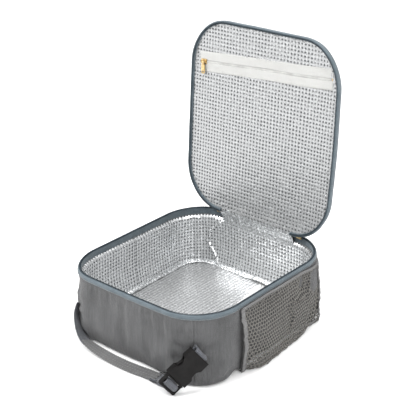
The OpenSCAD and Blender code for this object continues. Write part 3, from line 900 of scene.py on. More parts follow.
def wall_foil_relief(s, z):
    """Pillows and crumples of the wall lining, inward."""
    bent = np.sin(math.pi * BODY.at(s)[2])
    after, before = BODY.starts[3:5], BODY.starts[5:7]
    back = ease(s, after[0] + 0.02, after[1]) * (1 - ease(s, before[0], before[1] - 0.02))
    upper = ease(z, 28 * MM, 52 * MM)
    loose = 0.1 + 0.9 * bent**2 + 0.7 * back * upper
    pillows = EMBOSS_H * emboss(s, z) * (0.55 + 0.45 * back * upper)
    crumple = 0.9 * MM * loose * (creases(s, z, 15 * MM, 31) + 0.5 * creases(s, z, 6 * MM, 32))
    buckles = 1.0 * MM * bent**2 * noise(s / 0.008, z / 0.05, 33)
    away, side = fold_line(s, z)
    fold = 2.6 * MM * hump(away, 1.8 * MM) + 1.0 * MM * np.exp(-away / (7 * MM)) * (side > 0)
    ledge = 0.7 * MM * noise(s / 0.05, 0 * s, 34) * hump(z - 46 * MM, 5 * MM) * (1 - back)
    return 0.6 * MM + pillows + crumple + buckles + fold + ledge


def wall_foil():
    """The lining of the walls, in two halves that meet at the sides."""
    straight = np.arange(7.0 * MM, FOIL_TURN_Z, FOIL_STEP)
    turn = np.linspace(0, math.pi / 2, 9)
    inset = np.concatenate([np.full(len(straight), FOAM_IN), FOAM_IN - 4.2 * MM * (1 - np.cos(turn))])
    z = np.concatenate([straight, FOIL_TURN_Z + 6.5 * MM * np.sin(turn)])
    quarter = BODY.length / 4
    for name, start, node in (("foil_wall_front", -quarter, "foil_walls"), ("foil_wall_back", quarter, None)):
        s = np.linspace(start, start + 2 * quarter, int(2 * quarter / FOIL_STEP) + 1)
        S, Z = np.meshgrid(s, z)
        relief = wall_foil_relief(np.mod(S, BODY.length), Z) * (1 - 0.8 * ease(Z, FOIL_TURN_Z, 74 * MM))
        points = body_point(S, inset[:, None] + relief, Z)
        piece = grid(name, points, uv_grid(s, z), WALL_FOIL, flip=True, body=ROOT, slot="foil")
        if node:
            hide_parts(node)


def floor_foil():
    """The lining of the floor, with soft bands across it."""
    outline = Outline(BODY_HALF_W - 9 * MM, BODY_HALF_D - 9 * MM, 36 * MM)
    xy, faces, inside = plate(outline, 1.0 * MM)
    x, y = xy.T
    bands = noise((x + 0.25 * y) / 0.02 + 0.3 * noise(y / 0.06, x / 0.06, 41), y / 0.2, 42)
    z = FLOOR_Z - 0.5 * MM + 1.1 * MM * bands + 0.2 * EMBOSS_H * emboss(x, y)
    edge = 1 - ease(inside, 0, 0.02)
    z += 0.12 * MM * creases(x, y, 30 * MM, 43) + 0.8 * MM * edge * creases(x, y, 9 * MM, 44)
    points, uv = np.stack([x, y, z], 1), xy[faces]
    piece = add_mesh("foil_floor_sheet", points, faces.tolist(), uv, FLOOR_FOIL, body=ROOT, slot="foil")
    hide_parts("foil_floor")


def welt():
    """The rolled foil binding round the floor, pinched and crinkled along its length."""
    s = np.arange(0, BODY.length, ZIP_STEP)
    inset = FOAM_IN + 2.6 * MM + 0.5 * MM * noise(s / 0.02, 0 * s, 52)
    centre = body_point(s, inset, FLOOR_Z + 1.4 * MM + 0.5 * MM * noise(s / 0.015, 0 * s, 53))
    _, out, _ = BODY.at(s)
    across = np.concatenate([out, np.full((len(s), 1), 0.35)], 1)
    up = np.concatenate([-0.35 * out, np.ones((len(s), 1))], 1)
    turn = np.arange(10) * 2 * math.pi / 10
    size = 1 + 0.16 * noise(s / 0.006, 0 * s, 51)[:, None]
    size = size + 0.22 * noise(s[:, None] / 0.004, turn[None] * 2, 54)
    rings = ellipse(2.6 * MM, 1.5 * MM, len(turn)) * size[..., None]
    piece = tube("foil_welt", centre, (across, up), rings, CRUSHED_FOIL, wrap=True, body=ROOT, slot="foil")
    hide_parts("floor_welt")


# ---- zip ----

STITCH_PITCH = 3.4 * MM
THREAD_R = 0.28 * MM


def zip_run(start_gap):
    """Lengths round the rim from one end of the hinge to the other."""
    return BACK_S + start_gap, BACK_S - start_gap + BODY.length


def tape_profile(profile):
    """Evenly spaced points along a section, and their lengths along it."""
    profile = np.array(profile, float) * MM
    along = gone_along(profile)
    t = np.linspace(0, along[-1], int(along[-1] / (0.7 * MM)) + 1)
    return np.stack([np.interp(t, along, profile[:, k]) for k in (0, 1)], 1), t


def edge_tape(name, place, section, ripple, seed, node, **more):
    """Zip tape round the body or the lid. Its section is given as inset and height, in millimetres."""
    low, high = zip_run(HINGE_HALF + 1 * MM)
    s = np.linspace(low, high, int((high - low) / ZIP_STEP))
    section, across = tape_profile(section)
    S, inset = np.meshgrid(s, section[:, 0])
    _, Z = np.meshgrid(s, section[:, 1])
    ruffle = 0.25 * MM * noise(S / ripple, Z / 0.01, seed)
    piece = grid(name, place(S, inset + ruffle, Z), uv_grid(s, across), TAPE, slot="zip_tape", **more)
    thicken(piece, TAPE_T)
    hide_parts(node)


def rim_tape():
    """The zip tape folded over the rim."""
    section = [(-0.6, 79.2), (-0.9, 81), (-0.8, 83.4), (-0.2, 84.6), (0.8, 84.8), (2.4, 84.5), (3.0, 83.4),
               (3.1, 80), (3.0, 74)]
    edge_tape("rim_tape_cloth", body_point, section, 0.012, 61, "rim_tape", body=ROOT)


def coil(name, place, height, body, node):
    """The spiral of a nylon zip, run along an edge of the body or lid."""
    low, high = zip_run(HINGE_HALF + 2 * MM)
    turns = int((high - low) / (1.35 * MM))
    steps = 9
    t = np.arange(turns * steps + 1) / steps
    s = low + t * (high - low) / turns
    inset = 1.6 * MM + 1.15 * MM * np.cos(2 * math.pi * t)
    z = height + 1.05 * MM * np.sin(2 * math.pi * t)
    centre = place(s, inset, z)
    ahead = tangents(centre)
    across = square_to(place(s, inset - 1 * MM, z) - centre, ahead)
    ring = ellipse(0.42 * MM, 0.42 * MM, 5)
    piece = tube(name, centre, (across, np.cross(ahead, across)), ring, COIL, body=body, slot="zip_coil")
    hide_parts(node)


def rim_stitches():
    """The row of stitches just below the tape outside, and one inside."""
    low, high = zip_run(HINGE_HALF + 4 * MM)
    s = np.arange(low, high, STITCH_PITCH)
    for side, inset, z in (("outer", -1.0 * MM, 80.2 * MM), ("inner", 3.2 * MM, 76 * MM)):
        place = body_point(s, inset, z)
        ahead = unit(body_point(s + 1 * MM, inset, z) - place)
        _, out, _ = BODY.at(s)
        up = np.concatenate([out * (1 if inset < 0 else -1), np.zeros((len(s), 1))], 1)
        stitches("tape_stitches_" + side, place, ahead, up, 2.3 * MM, THREAD_R, GREY_THREAD, body=ROOT)


# ---- lid ----

POCKET_TILT = math.radians(-4)


def pocket_axes(xy):
    """A place on the shut lid in the pocket zip's own directions: along it, and across it to the front."""
    x, y = xy[..., 0], xy[..., 1] - POCKET_Y
    c, s = math.cos(POCKET_TILT), math.sin(POCKET_TILT)
    return x * c + y * s, x * s - y * c


def from_pocket(along, across, depth):
    """A point on the open lid from the pocket zip's directions, a depth in front of the foil."""
    c, s = math.cos(POCKET_TILT), math.sin(POCKET_TILT)
    z = FOIL_PLANE - depth + 0 * along
    return open_lid(np.stack([along * c + across * s, POCKET_Y + along * s - across * c, z], -1))


def lid_foil_relief(xy, inside):
    """Pillows and crumples of the lid's lining, toward the inside of the bag."""
    x, y = xy[:, 0], xy[:, 1]
    edge = 1 - ease(inside, 0, 0.014)
    pillows = 1.1 * EMBOSS_H * emboss(x, y) * (1 - 0.3 * edge)
    soft = 0.5 * MM * noise(x / 0.07, y / 0.07, 71)
    crumple = 0.2 * MM * creases(x, y, 18 * MM, 72) + 1.1 * MM * edge * creases(x, y, 6 * MM, 73)
    return 0.2 * MM + pillows + soft + crumple + 0.9 * MM * edge


def lid_foil():
    """The lid's lining, in front of the pocket's zip and behind it."""
    outline = BODY.inset(2.4 * MM)
    half = POCKET_BAND / 2 - 1.5 * MM

    def below(xy):
        return pocket_axes(xy)[1] < -half

    def above(xy):
        along, across = pocket_axes(xy)
        return (across > half) | ((np.abs(along) > POCKET_HALF - 1 * MM) & (across >= -half - 1 * MM))

    for part, keep in (("lower", below), ("upper", above)):
        xy, faces, inside = plate(outline, 0.9 * MM, keep)
        z = FOIL_PLANE - lid_foil_relief(xy, inside)
        points = open_lid(np.stack([slim(xy[:, 0], *LID_SLIM), xy[:, 1], z], 1))
        faces = faces[:, ::-1]
        piece = add_mesh("foil_lid_" + part, points, faces.tolist(), xy[faces], FOIL, body=LID, slot="foil")
        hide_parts("lid_foil_" + part)


def lid_cover():
    """The lid's padded outer cloth, rounding down all round to the tape."""
    xy, faces, inside = plate(BODY.inset(0.8 * MM), 2 * MM)
    x, y = xy.T
    round_in = np.clip(inside / (17 * MM), 0, 1)
    drop = 6.4 * MM * (1 - np.sqrt(1 - (1 - round_in) ** 2))
    crown = 1.6 * MM * ease(inside, 0.01, 0.08)
    z = LID_HIGH - 0.4 * MM - drop + crown + 0.8 * MM * noise(x / 0.06, y / 0.05, 81) * ease(inside, 0, 0.03)
    z += 0.2 * MM * noise(x / 0.012, y / 0.02, 82)
    z += 0.5 * MM * noise(x / 0.012, y / 0.012, 83) * (1 - ease(inside, 0, 0.02))
    points = open_lid(np.stack([slim(x, *LID_SLIM), y, z], 1))
    cover = add_mesh("lid_cloth", points, faces.tolist(), xy[faces], OUTER, body=LID, slot="outer_fabric")
    thicken(cover, CLOTH_T)
    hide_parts("lid_outer")


def lid_tape():
    """The zip tape round the lid, with a row of stitches on each side of it."""
    base = LID_LOW / MM
    section = [(3.2, base + 4.5), (3.0, base + 1.6), (2.3, base + 0.6), (0.8, base + 0.3), (0.0, base + 0.6),
               (-0.3, base + 1.8), (-0.1, base + 4.6), (0.9, base + 7.4)]
    edge_tape("lid_tape_cloth", lid_point, section, 0.014, 62, "lid_tape", flip=True, body=LID)
    low, high = zip_run(HINGE_HALF + 4 * MM)
    s = np.arange(low, high, STITCH_PITCH)
    for side, inset, z in (("outer", 0.2 * MM, LID_LOW + 6.2 * MM), ("inner", 3.6 * MM, LID_LOW + 3.2 * MM)):
        place = lid_point(s, inset, z)
        ahead = unit(lid_point(s + 1 * MM, inset, z) - place)
        up = unit(lid_point(s, inset + 1 * MM, z) - place)
        stitches("lid_stitches_" + side, place, ahead, up, 2.3 * MM, THREAD_R, GREY_THREAD, body=LID)


def pocket_zip():
    """The white zip across the lid's foil: two tapes and the coil between them."""
    along = np.linspace(-POCKET_HALF, POCKET_HALF, 160)
    half = POCKET_BAND / 2
    for name, low, high, node in (("pocket_tape_front", 1.4 * MM, half, "pocket_tape_upper"),
                                  ("pocket_tape_rear", -half, -1.4 * MM, "pocket_tape_lower")):
        across = np.linspace(low, high, 14)
        A, C = np.meshgrid(along, across)
        lift = 0.9 * MM + 0.4 * MM * noise(A / 0.045, C / 0.02, 92)
        lift += 0.1 * MM * noise(A / 0.004, C / 0.012, 93)
        lift -= 0.2 * MM * ease(np.abs(C), half - 1.6 * MM, half)
        points = from_pocket(A, C + 0.5 * MM * noise(A / 0.05, 0 * A, 91), lift)
        piece = grid(name, points, uv_grid(along, across), CREAM, flip=low > 0, body=LID, slot="pocket_tape")
        thicken(piece, TAPE_T, 0)
        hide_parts(node)
    reach = POCKET_HALF - 2 * MM
    at = np.linspace(-reach, reach, int(2 * reach / (1.2 * MM)))
    place = from_pocket(at, 0, 0.8 * MM)
    ahead = unit(from_pocket(at, 1 * MM, 0.8 * MM) - place)
    up = unit(from_pocket(at, 0, 1.8 * MM) - place)
    teeth = (3.2 * MM, 0.4 * MM, CREAM_COIL)
    piece = stitches("pocket_zip_coil", place, ahead, up, *teeth, body=LID, slot="pocket_coil")
    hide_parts("pocket_coil")
    at = np.arange(-reach, reach, 3.2 * MM)
    for side, edge in (("front", half - 1.5 * MM), ("rear", -half + 1.5 * MM)):
        place = from_pocket(at, edge, 1.2 * MM)
        ahead = unit(from_pocket(at + 1 * MM, edge, 1.2 * MM) - place)
        up = unit(from_pocket(at, edge, 2.2 * MM) - place)
        stitches("pocket_stitches_" + side, place, ahead, up, 2.2 * MM, 0.22 * MM, WHITE_THREAD, body=LID)


# ---- hinge ----

def hinge_cloth():
    """The cloth that joins the back wall and the lid outside, and the foil flap inside."""
    x = np.linspace(-HINGE_SPAN, HINGE_SPAN, 111)
    hy = HINGE_AT.y
    wall, lining = BODY_HALF_D, BODY_HALF_D - 6 * MM
    outside = [(wall + 0.9 * MM, 72 * MM), (wall + 1.0 * MM, 80 * MM), (wall + 1.3 * MM, 85 * MM),
               (wall + 1.9 * MM, 89 * MM), (wall + 1.4 * MM, 94 * MM), (wall + 0.9 * MM, 100 * MM)]
    inside = [(lining - 0.6 * MM, 70 * MM), (lining, 76 * MM), (lining - 1.5 * MM, 81 * MM),
              (hy - 4.6 * MM, 86 * MM), (hy - 4.0 * MM, 90 * MM), (hy - 1.8 * MM, 95 * MM)]
    for name, path, material, node, seed, amount, slot in (
            ("hinge_outer_cloth", outside, OUTER, "hinge_fabric", 101, 0.35 * MM, "outer_fabric"),
            ("hinge_foil_flap", inside, CRUSHED_FOIL, "hinge_foil", 102, -0.9 * MM, "foil")):
        path = np.array(path)
        step = gone_along(path)
        t = np.linspace(0, step[-1], 34)
        X, Y = np.meshgrid(x, np.interp(t, step, path[:, 0]))
        _, Z = np.meshgrid(x, np.interp(t, step, path[:, 1]))
        T = np.broadcast_to(t[:, None], X.shape)
        loose = amount * np.sin(math.pi * np.clip(T / t[-1], 0, 1))
        Y = Y + loose * (creases(X, T, 9 * MM, seed) + 0.6 * noise(X / 0.007, T / 0.02, seed + 5))
        piece = grid(name, np.stack([X, Y, Z], -1), uv_grid(x, t), material, flip=amount > 0, slot=slot)
        thicken(piece, 0.4 * MM, 0)
        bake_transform(piece)
        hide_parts(node)


# ---- mesh pocket ----

MESH_START = BODY.starts[2] + 4.5 * MM
MESH_END = BODY.starts[3] + 22 * MM
MESH_LENGTH = MESH_END - MESH_START
MESH_COLS, MESH_ROWS = 76, 40
CELL = 3.9 * MM
ROW_PITCH = math.sqrt(3) / 2
HOLE = 0.375
HEM_Z = 79.5 * MM
FLAT_HEIGHT = 78 * MM


def mesh_rest(t, rise):
    """The pocket as sewn: t from its front edge to its back one, rise from its foot to its hem."""
    low = np.interp(t, [0, 0.06, 0.13, 0.22, 0.36, 0.5, 0.65, 0.8, 0.92, 1],
                    np.array([4, 9, 14, 17, 16, 14, 11, 7, 4, 3]) * MM)
    steps = [0, 0.05, 0.12, 0.3, 0.5, 0.7, 0.85, 1]
    out = low * np.interp(rise, steps, [0.1, 0.85, 1, 0.95, 0.76, 0.5, 0.28, 0]) + 2.4 * MM
    hem = HEM_Z - 3.5 * MM * ease(t, 0.72, 1)
    z = np.interp(rise, steps, np.array([0.9, 1.0, 4, 20, 38, 56, 69, 79.5]) * MM)
    z = z * (1 + (hem / HEM_Z - 1) * rise)
    way = np.array([(0.84, 50), (0.72, 51), (0.6, 56), (0.54, 52), (0.57, 40), (0.54, 27)])
    away, side = polyline_gap(t * MESH_LENGTH, z, way * np.array([MESH_LENGTH, MM]))
    out = out + 2.6 * MM * hump(away, 2.6 * MM) - 1.8 * MM * np.exp(-away / (6 * MM)) * (side > 0)
    hollow = np.hypot((t - 0.75) * MESH_LENGTH, z - 63 * MM)
    out = out - 3.2 * MM * hump(hollow, 8 * MM)
    out = out + 0.9 * MM * noise(t * 6, z / 0.022, 111) * np.sin(math.pi * np.clip(rise, 0, 1))
    return body_point(MESH_START + t * MESH_LENGTH, -np.maximum(out, 0.8 * MM), z)


def mesh_drape():
    """The pocket after it has settled, as rows and columns of points."""
    t, rise = np.meshgrid(np.linspace(0, 1, MESH_COLS), np.linspace(0, 1, MESH_ROWS))
    points = mesh_rest(t, rise)
    held = np.zeros(points.shape[:2], bool)
    held[[0, 1, -1]] = held[:, [0, -1]] = True
    points = points + settle(points, held, slack=0.05, limit=3.5 * MM)
    points[..., 2] = np.maximum(points[..., 2], 0.8 * MM)
    return points


MESH_SHAPE = mesh_drape()


def mesh_point(t, rise, out=0.0):
    """A point of the settled pocket, lifted off it by out."""
    t, rise = np.broadcast_arrays(t, rise)
    _, away, _ = BODY.at(MESH_START + t * MESH_LENGTH)
    point = sample(MESH_SHAPE, rise * (MESH_ROWS - 1), t * (MESH_COLS - 1))
    point[..., :2] += away * out
    return point


def mesh_cloth():
    """The knitted mesh: a honeycomb of round-cornered holes."""
    cols, rows = int(MESH_LENGTH / CELL), int(FLAT_HEIGHT / (CELL * ROW_PITCH))
    r, c = np.divmod(np.arange(rows * cols), cols)
    centres = np.stack([c + 0.5 + 0.5 * (r % 2), (r + 0.5) * ROW_PITCH], 1)
    angle = np.radians(30 + 60 * np.arange(6))
    corner = np.stack([np.cos(angle), np.sin(angle)], 1) / math.sqrt(3)
    outer = (centres[:, None] + corner[None]).reshape(-1, 2)
    key, index = np.unique(np.round(outer * 1000).astype(int), axis=0, return_inverse=True)
    outer = key / 1000
    index = index.reshape(-1, 6)
    angle = np.radians(30 + 30 * np.arange(12))
    hole = HOLE * np.stack([np.cos(angle), np.sin(angle)], 1)
    holes = (centres[:, None] + hole[None]).reshape(-1, 2)
    faces = []
    for cell in range(len(centres)):
        ring = len(outer) + 12 * cell
        for k in range(6):
            a, b = index[cell, k], index[cell, (k + 1) % 6]
            first, middle, last = ring + 2 * k, ring + 2 * k + 1, ring + (2 * k + 2) % 12
            faces += [[a, middle, first], [a, b, last, middle]]
    flat = np.concatenate([outer, holes])
    t = np.clip(flat[:, 0] / (cols + 0.5), 0, 1)
    rise = np.clip(flat[:, 1] / (rows * ROW_PITCH), 0, 1)
    uv = (flat * CELL)[np.concatenate(faces)]
    piece = add_mesh("mesh_sheet", mesh_point(t, rise), faces, uv, MESH_YARN, body=ROOT, slot="mesh")
    thicken(piece, 0.45 * MM, 0)
    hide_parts("mesh_panel")


def mesh_edges():
    """The elastic hem and the bindings down the pocket's two ends."""
    t = np.linspace(0, 1, 90)
    _, out, _ = BODY.at(MESH_START + t * MESH_LENGTH)
    for name, rise, width, lean, lift, node, seed in (
            ("mesh_hem_band", 0.99, 3.2 * MM, 0.1, 0, "mesh_hem", 121),
            ("mesh_foot_band", 0.03, 4 * MM, -0.25, 1.9 * MM, None, 122)):
        centre = mesh_point(t, np.full(len(t), rise), 0.4 * MM)
        centre[:, 2] += 0.4 * MM * noise(t * 22, 0 * t, seed) + lift
        ahead = tangents(centre)
        up = square_to(np.concatenate([out, np.full((len(t), 1), lean)], 1), ahead)
        frames = (np.cross(up, ahead), up)
        section = flat_profile(width, 1.0 * MM, 0.3 * MM)
        piece = tube(name, centre, frames, section, BINDING, body=ROOT, slot="binding")
        if node:
            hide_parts(node)
    rise = np.linspace(0.022, 1.0, 50)
    for name, where, width, node, seed in (("mesh_front_binding", 0.012, 6.5 * MM, "mesh_binding_front", 123),
                                           ("mesh_back_binding", 0.99, 5 * MM, "mesh_binding_back", 124)):
        at = np.full(len(rise), where) + 0.002 * noise(rise * 9, 0 * rise, seed)
        centre = mesh_point(at, rise, 0.7 * MM)
        ahead = tangents(centre)
        _, out, _ = BODY.at(MESH_START + at * MESH_LENGTH)
        across = unit(np.cross(ahead, np.concatenate([out, np.zeros((len(rise), 1))], 1)))
        frames = (across, np.cross(across, ahead))
        section = flat_profile(width, 1.2 * MM, 0.3 * MM)
        piece = tube(name, centre, frames, section, BINDING, body=ROOT, slot="binding")
        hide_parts(node)
    depth = np.linspace(0, 1, 8)
    R, D = np.meshgrid(rise, depth, indexing="ij")
    outer = mesh_point(np.full(R.shape, 0.03), R)
    s = MESH_START + 0.03 * MESH_LENGTH - 2.0 * MM * np.sin(math.pi * D)
    wall = body_point(s, -0.3 * MM, outer[..., 2])
    points = outer * (1 - D[..., None]) + wall * D[..., None]
    uv = np.stack([R * 0.08, D * 0.01], -1)
    piece = grid("mesh_front_gusset", points, uv, BINDING, body=ROOT, slot="binding")
    thicken(piece, 0.4 * MM, 0)


# ---- strap ----

BAND_W, BAND_T = 16 * MM, 3.8 * MM
WEB_W, WEB_T = 18.6 * MM, 1.5 * MM
BUCKLE_AT = np.array([98.3, -113, 41.6]) * MM
BUCKLE_TURN = (-83.8, -51.1, -125.4)
SEAM_X = BODY.a + CORNER_R * math.sin(SEAM_TURN)
SEAM_Y = BODY.b + CORNER_R * math.cos(SEAM_TURN)
TAB_Z = 41 * MM


def turned(angles):
    """Rotation matrix of turns about X, then Y, then Z, in degrees."""
    x, y, z = (math.radians(v) for v in angles)
    return np.array(Matrix.Rotation(z, 3, "Z") @ Matrix.Rotation(y, 3, "Y") @ Matrix.Rotation(x, 3, "X"))


BUCKLE_AXES = turned(BUCKLE_TURN)


def buckle_point(x, y, z):
    """A point given in the buckle's own axes, in millimetres."""
    return BUCKLE_AXES @ (np.array([x, y, z]) * MM) + BUCKLE_AT


# The strap's middle line from its right end to its left seam, as it lies on the ground and rises on edge:
# x, y and z in millimetres and how far it has rolled over, in degrees.
STRAP_LINE = [
    (53, -129.2, 2.5, 0), (38, -130.2, 2.5, 0), (20, -132.3, 2.5, 0), (0, -133.4, 2.7, -2),
    (-20, -133.4, 3.4, -6), (-40, -132.2, 4.6, -12), (-56, -130, 6.5, -22), (-67.5, -127, 10.5, -36),
    (-76, -123, 17.5, -48), (-82.5, -118, 26, -62), (-87.7, -110.8, 38.5, -88)]
BAND_END, WEBBING_START = 6.2, 5.8
BAND_ROWS = np.array([-6.6, -2.3, 2.3, 6.6]) * MM


def strap_path(first, last, spacing):
    """Points, their directions (ahead, across, up) and lengths along a stretch of the strap's line."""
    rows = np.repeat(np.array(STRAP_LINE, float)[:, None], 2, 1)
    fine = sample(rows, np.linspace(first, last, 400), np.zeros(400))
    gone = gone_along(fine[:, :3]) * MM
    d = np.linspace(0, gone[-1], int(gone[-1] / spacing) + 1)
    line = np.stack([np.interp(d, gone, fine[:, k]) for k in range(4)], 1)
    centre, roll = line[:, :3] * MM, np.radians(line[:, 3:])
    ahead = tangents(centre)
    up = square_to(np.array([0, 0, 1.0]), ahead)
    up = up * np.cos(roll) + np.cross(up, ahead) * np.sin(roll)
    return centre, ahead, np.cross(up, ahead), up, d


def strap_band():
    """The stitched sleeve over its foam core: three channels between four rows of stitches."""
    centre, _, across, up, d = strap_path(0, BAND_END, 1.5 * MM)
    profile = flat_profile(BAND_W, BAND_T, 0.35 * MM, points=33)
    groove = sum(hump(profile[:, 0] - row, 0.8 * MM) for row in BAND_ROWS)
    rings = np.repeat(profile[None], len(d), 0)
    pucker = 1 + 0.12 * noise(d[:, None] / 0.0055, profile[None, :, 0] / 0.004, 131)
    rings[..., 1] = rings[..., 1] * pucker - np.sign(rings[..., 1]) * 0.9 * MM * groove[None]
    rings[..., 0] *= 1 + 0.02 * noise(d / 0.012, 0 * d, 132)[:, None]
    piece = tube("strap_band", centre, (across, up), rings, BAND_CLOTH, body="handle", slot="band_fabric")
    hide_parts("handle_band", "handle_core")
    centre, ahead, across, up, _ = strap_path(0.1, BAND_END - 0.1, 3.6 * MM)
    for k, row in enumerate(BAND_ROWS):
        for side, face in (("top", up), ("under", -up)):
            place = centre + across * row + face * (BAND_T / 2 - 0.5 * MM)
            name = f"strap_stitches_{side}_{k + 1}"
            stitches(name, place, ahead, face, 2.5 * MM, THREAD_R, GREY_THREAD, body="handle")


def strap_left():
    """The webbing from the band's left end, turning on edge and rising to the corner seam."""
    centre, _, across, up, _ = strap_path(WEBBING_START, len(STRAP_LINE) - 1, 0.9 * MM)
    section = flat_profile(WEB_W, WEB_T, 0.1 * MM)
    piece = tube("strap_webbing_left", centre, (across, up), section, WEBBING, slot="webbing")
    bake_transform(piece)
    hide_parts("handle_webbing_left")


def smooth_line(points, per):
    """A smooth line through points, that many steps for each gap."""
    rows = np.repeat(np.array(points, float)[:, None], 2, 1)
    t = np.linspace(0, len(points) - 1, (len(points) - 1) * per + 1)
    return sample(rows, t, 0 * t), t / (len(points) - 1)


def looped_webbing(name, points, turned_share, first_across):
    """Webbing along points, its width turning from one direction to the buckle's and back."""
    centre, t = smooth_line(points, 5)
    bar_x = BUCKLE_AXES[:, 0] * (1 if np.dot(BUCKLE_AXES[:, 0], first_across) > 0 else -1)
    share = np.interp(t, *turned_share)[:, None]
    ahead = tangents(centre)
    across = square_to(first_across[None] * (1 - share) + bar_x[None] * share, ahead)
    section = flat_profile(WEB_W, WEB_T)
    return tube(name, centre, (across, np.cross(ahead, across)), section, WEBBING, slot="webbing")


def strap_right():
    """The webbing from the band round the plug's bar and back."""
    end = strap_path(0, 0.5, 2 * MM)[0][0]
    inner = np.array([-6, 0.3, 0]) * MM
    lead = np.array([9, -0.8, 2.6]) * MM
    rise = np.array([18, -5.0, 6.0]) * MM
    lift = np.array([0, 0, 0.8]) * MM
    round_bar = [(51.5, -5.2), (48.8, -3.8), (47.4, -1.4), (47.0, 1.6), (45.6, 3.1), (42.2, 3.2), (40.6, 1.8),
                 (40.3, -1.2), (42.2, -3.4), (46.4, -5.8), (51.0, -7.4)]
    points = [end + step + lift for step in (inner, 0 * inner, lead, rise)]
    points += [buckle_point(0, y, z) for y, z in round_bar]
    points += [end + step - lift for step in (rise, lead, 0 * inner, inner)]
    share = ([0, 0.1, 0.28, 0.72, 0.9, 1], [0, 0, 1, 1, 0, 0])
    piece = looped_webbing("strap_webbing_right", points, share, np.array([0.0, 1.0, 0.0]))
    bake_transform(piece)
    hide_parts("handle_webbing_right")


def socket_tab():
    """The webbing tab sewn into the corner seam, that goes round the socket's bar."""
    anchor = np.array([SEAM_X - 0.5 * MM, -SEAM_Y + 0.5 * MM, TAB_Z + 1 * MM])
    outward = np.array([math.sin(SEAM_TURN), -math.cos(SEAM_TURN), 0])
    round_bar = [(-1.2, -8.0), (-3.0, -4.4), (-3.5, -0.8), (-2.3, 1.6), (0.2, 2.2), (2.4, 2.1), (4.4, 0.8),
                 (4.5, -1.2), (2.6, -2.7), (1.0, -5.0), (0.8, -8.0)]
    points = [anchor + outward * 0.8 * MM] + [buckle_point(0, y, z) for y, z in round_bar] + [anchor]
    share = ([0, 0.25, 0.8, 1], [0, 1, 1, 0])
    piece = looped_webbing("socket_webbing_tab", points, share, np.array([0.0, 0.0, 1.0]))
    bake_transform(piece)
    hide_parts("female_webbing")


def plug():
    """The plug: a flange, two rails, an outer bar, the webbing's bar and a tongue between the arms."""
    rail, out = 9.9, 12.0
    parts = [((-out, 36.4, -3.9), (out, 38.2, 3.9)), ((-rail - 0.5, 42.0, -1.3), (rail + 0.5, 45.6, 1.3)),
             ((-out + 0.4, 48.2, -1.6), (out - 0.4, 50.8, 2.4)), ((-2, 16, -1.2), (2, 36.8, 1.2))]
    parts += [((low, 38.2, -2.4), (high, 50.0, 2.4)) for low, high in ((-out, -rail), (rail, out))]
    sides = ((0, 2, 3, 1), (4, 5, 7, 6), (0, 1, 5, 4), (2, 6, 7, 3), (0, 4, 6, 2), (1, 3, 7, 5))
    points, faces = [], []
    for low, high in parts:
        faces += [[len(points) + k for k in side] for side in sides]
        corners = itertools.product((low[2], high[2]), (low[1], high[1]), (low[0], high[0]))
        points += [buckle_point(x, y, z) for z, y, x in corners]
    where = {"body": "buckle_plug", "slot": "buckle_plastic"}
    piece = add_mesh("plug_ladder", points, faces, None, BUCKLE, smooth=False, **where)
    soften(piece, 0.6 * MM, 3)
    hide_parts("buckle_male")


# ---- CAD pieces that keep their shape ----

def dress(node, material, bevel):
    """Gives a CAD piece its material and softened edges."""
    piece = frame["nodes"][node]
    piece.data.materials.clear()
    piece.data.materials.append(material)
    edges = soften(piece, bevel, 2)
    edges.limit_method = "ANGLE"
    edges.angle_limit = math.radians(40)


outer_cloth()
foam_ring()
floor_pad = Outline(BODY_HALF_W - 7 * MM, BODY_HALF_D - 7 * MM, 46 * MM)
foam_plate("foam_floor_pad", floor_pad, 1.8 * MM, 6.4 * MM, "foam_floor", ROOT)
lid_pad = BODY.inset(7 * MM)
foam_plate("foam_lid_pad", lid_pad, FOIL_PLANE + 0.6 * MM, LID_HIGH - 2.8 * MM, "lid_foam", LID, shut=True)
wall_foil()
floor_foil()
welt()
rim_tape()
coil("rim_zip_coil", body_point, RIM_Z - 0.6 * MM, ROOT, "rim_coil")
rim_stitches()
lid_foil()
lid_cover()
lid_tape()
coil("lid_zip_coil", lid_point, LID_LOW + 0.6 * MM, LID, "lid_coil")
pocket_zip()
hinge_cloth()
mesh_cloth()
mesh_edges()
strap_band()
strap_left()
strap_right()
socket_tab()
plug()
for node in ("slider_left", "slider_right", "pull_left", "pull_right", "pocket_slider", "pocket_pull",
             "pocket_stops", "zip_stops"):
    dress(node, BRASS, 0.25 * MM)
for node in ("buckle_female", "buckle_arm_upper", "buckle_arm_lower"):
    dress(node, BUCKLE, 0.5 * MM)
dress("pocket_pouch", POUCH, 0.3 * MM)


# ---- camera, floor and light ----

CAMERA_AT = Vector((0.7532, -0.8785, 0.6694))
CAMERA_AZ = math.radians(39.99)
CAMERA_EL = math.radians(24.36)
CAMERA_ROLL = math.radians(-0.36)
LENS = 95.9


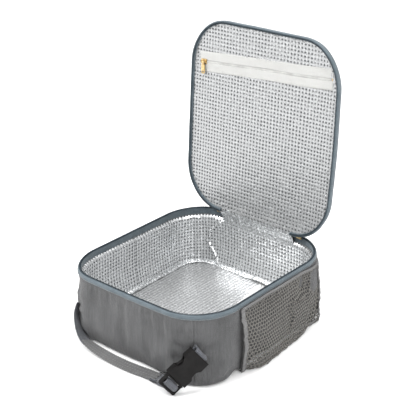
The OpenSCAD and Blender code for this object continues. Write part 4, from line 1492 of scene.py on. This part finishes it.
def camera():
    """The photograph's viewpoint."""
    data = bpy.data.cameras.new("camera")
    data.lens = LENS
    data.sensor_width = 36
    cam = add_object("camera", data)
    level = math.cos(CAMERA_EL)
    back = Vector((math.sin(CAMERA_AZ) * level, -math.cos(CAMERA_AZ) * level, math.sin(CAMERA_EL)))
    right = Vector((math.cos(CAMERA_AZ), math.sin(CAMERA_AZ), 0))
    up = back.cross(right)
    roll = Matrix.Rotation(CAMERA_ROLL, 3, back)
    axes = Matrix((roll @ right, roll @ up, back)).transposed()
    cam.matrix_world = Matrix.Translation(CAMERA_AT) @ axes.to_4x4()
    data.clip_start = 0.01
    data.clip_end = 50
    bpy.context.scene.camera = cam


def light(name, at, size, power):
    """A soft rectangular lamp that faces the bag."""
    data = bpy.data.lights.new(name, "AREA")
    data.shape = "RECTANGLE"
    data.size, data.size_y = size
    data.energy = power
    lamp = add_object(name, data)
    lamp.location = at
    lamp.rotation_mode = "QUATERNION"
    lamp.rotation_quaternion = (Vector((0, 0, 0.1)) - Vector(at)).to_track_quat("-Z", "Y")


def studio():
    """A pale floor, a sky that is brighter above, and three soft lamps."""
    far = 12
    mesh = bpy.data.meshes.new("studio_floor")
    mesh.from_pydata([(-far, -far, 0), (far, -far, 0), (far, far, 0), (-far, far, 0)], [], [(0, 1, 2, 3)])
    floor = add_object("studio_floor", mesh)
    floor.location.z = -0.2 * MM
    p = Paint("StudioFloor", (0.93, 0.93, 0.93), 0.85)
    cloud = p.noise(p.place(), 2 / 3, 2)
    p.colour(p.mix(cloud, (0.92, 0.92, 0.92), (0.94, 0.94, 0.94)))
    mesh.materials.append(p.material)
    world = bpy.data.worlds.new("studio")
    bpy.context.scene.world = world
    world.use_nodes = True
    nodes, links = world.node_tree.nodes, world.node_tree.links
    sky = nodes["Background"]
    sky.inputs[0].default_value = (1, 1, 1, 1)
    height = nodes.new("ShaderNodeSeparateXYZ")
    links.new(nodes.new("ShaderNodeTexCoord").outputs["Generated"], height.inputs[0])
    brighter = nodes.new("ShaderNodeMapRange")
    brighter.interpolation_type = "SMOOTHSTEP"
    for key, value in (("From Min", 0.1), ("From Max", 0.75), ("To Min", 0.22), ("To Max", 1.25)):
        brighter.inputs[key].default_value = value
    links.new(height.outputs["Z"], brighter.inputs["Value"])
    links.new(brighter.outputs[0], sky.inputs[1])
    light("key", (-1.2, -1.5, 2.0), (1.2, 1.2), 60)
    light("side", (1.9, -0.4, 1.5), (0.8, 1.4), 22)
    light("top", (0.2, 0.9, 2.4), (1.6, 1.0), 26)
    bpy.context.scene.view_settings.view_transform = "Standard"


camera()
studio()
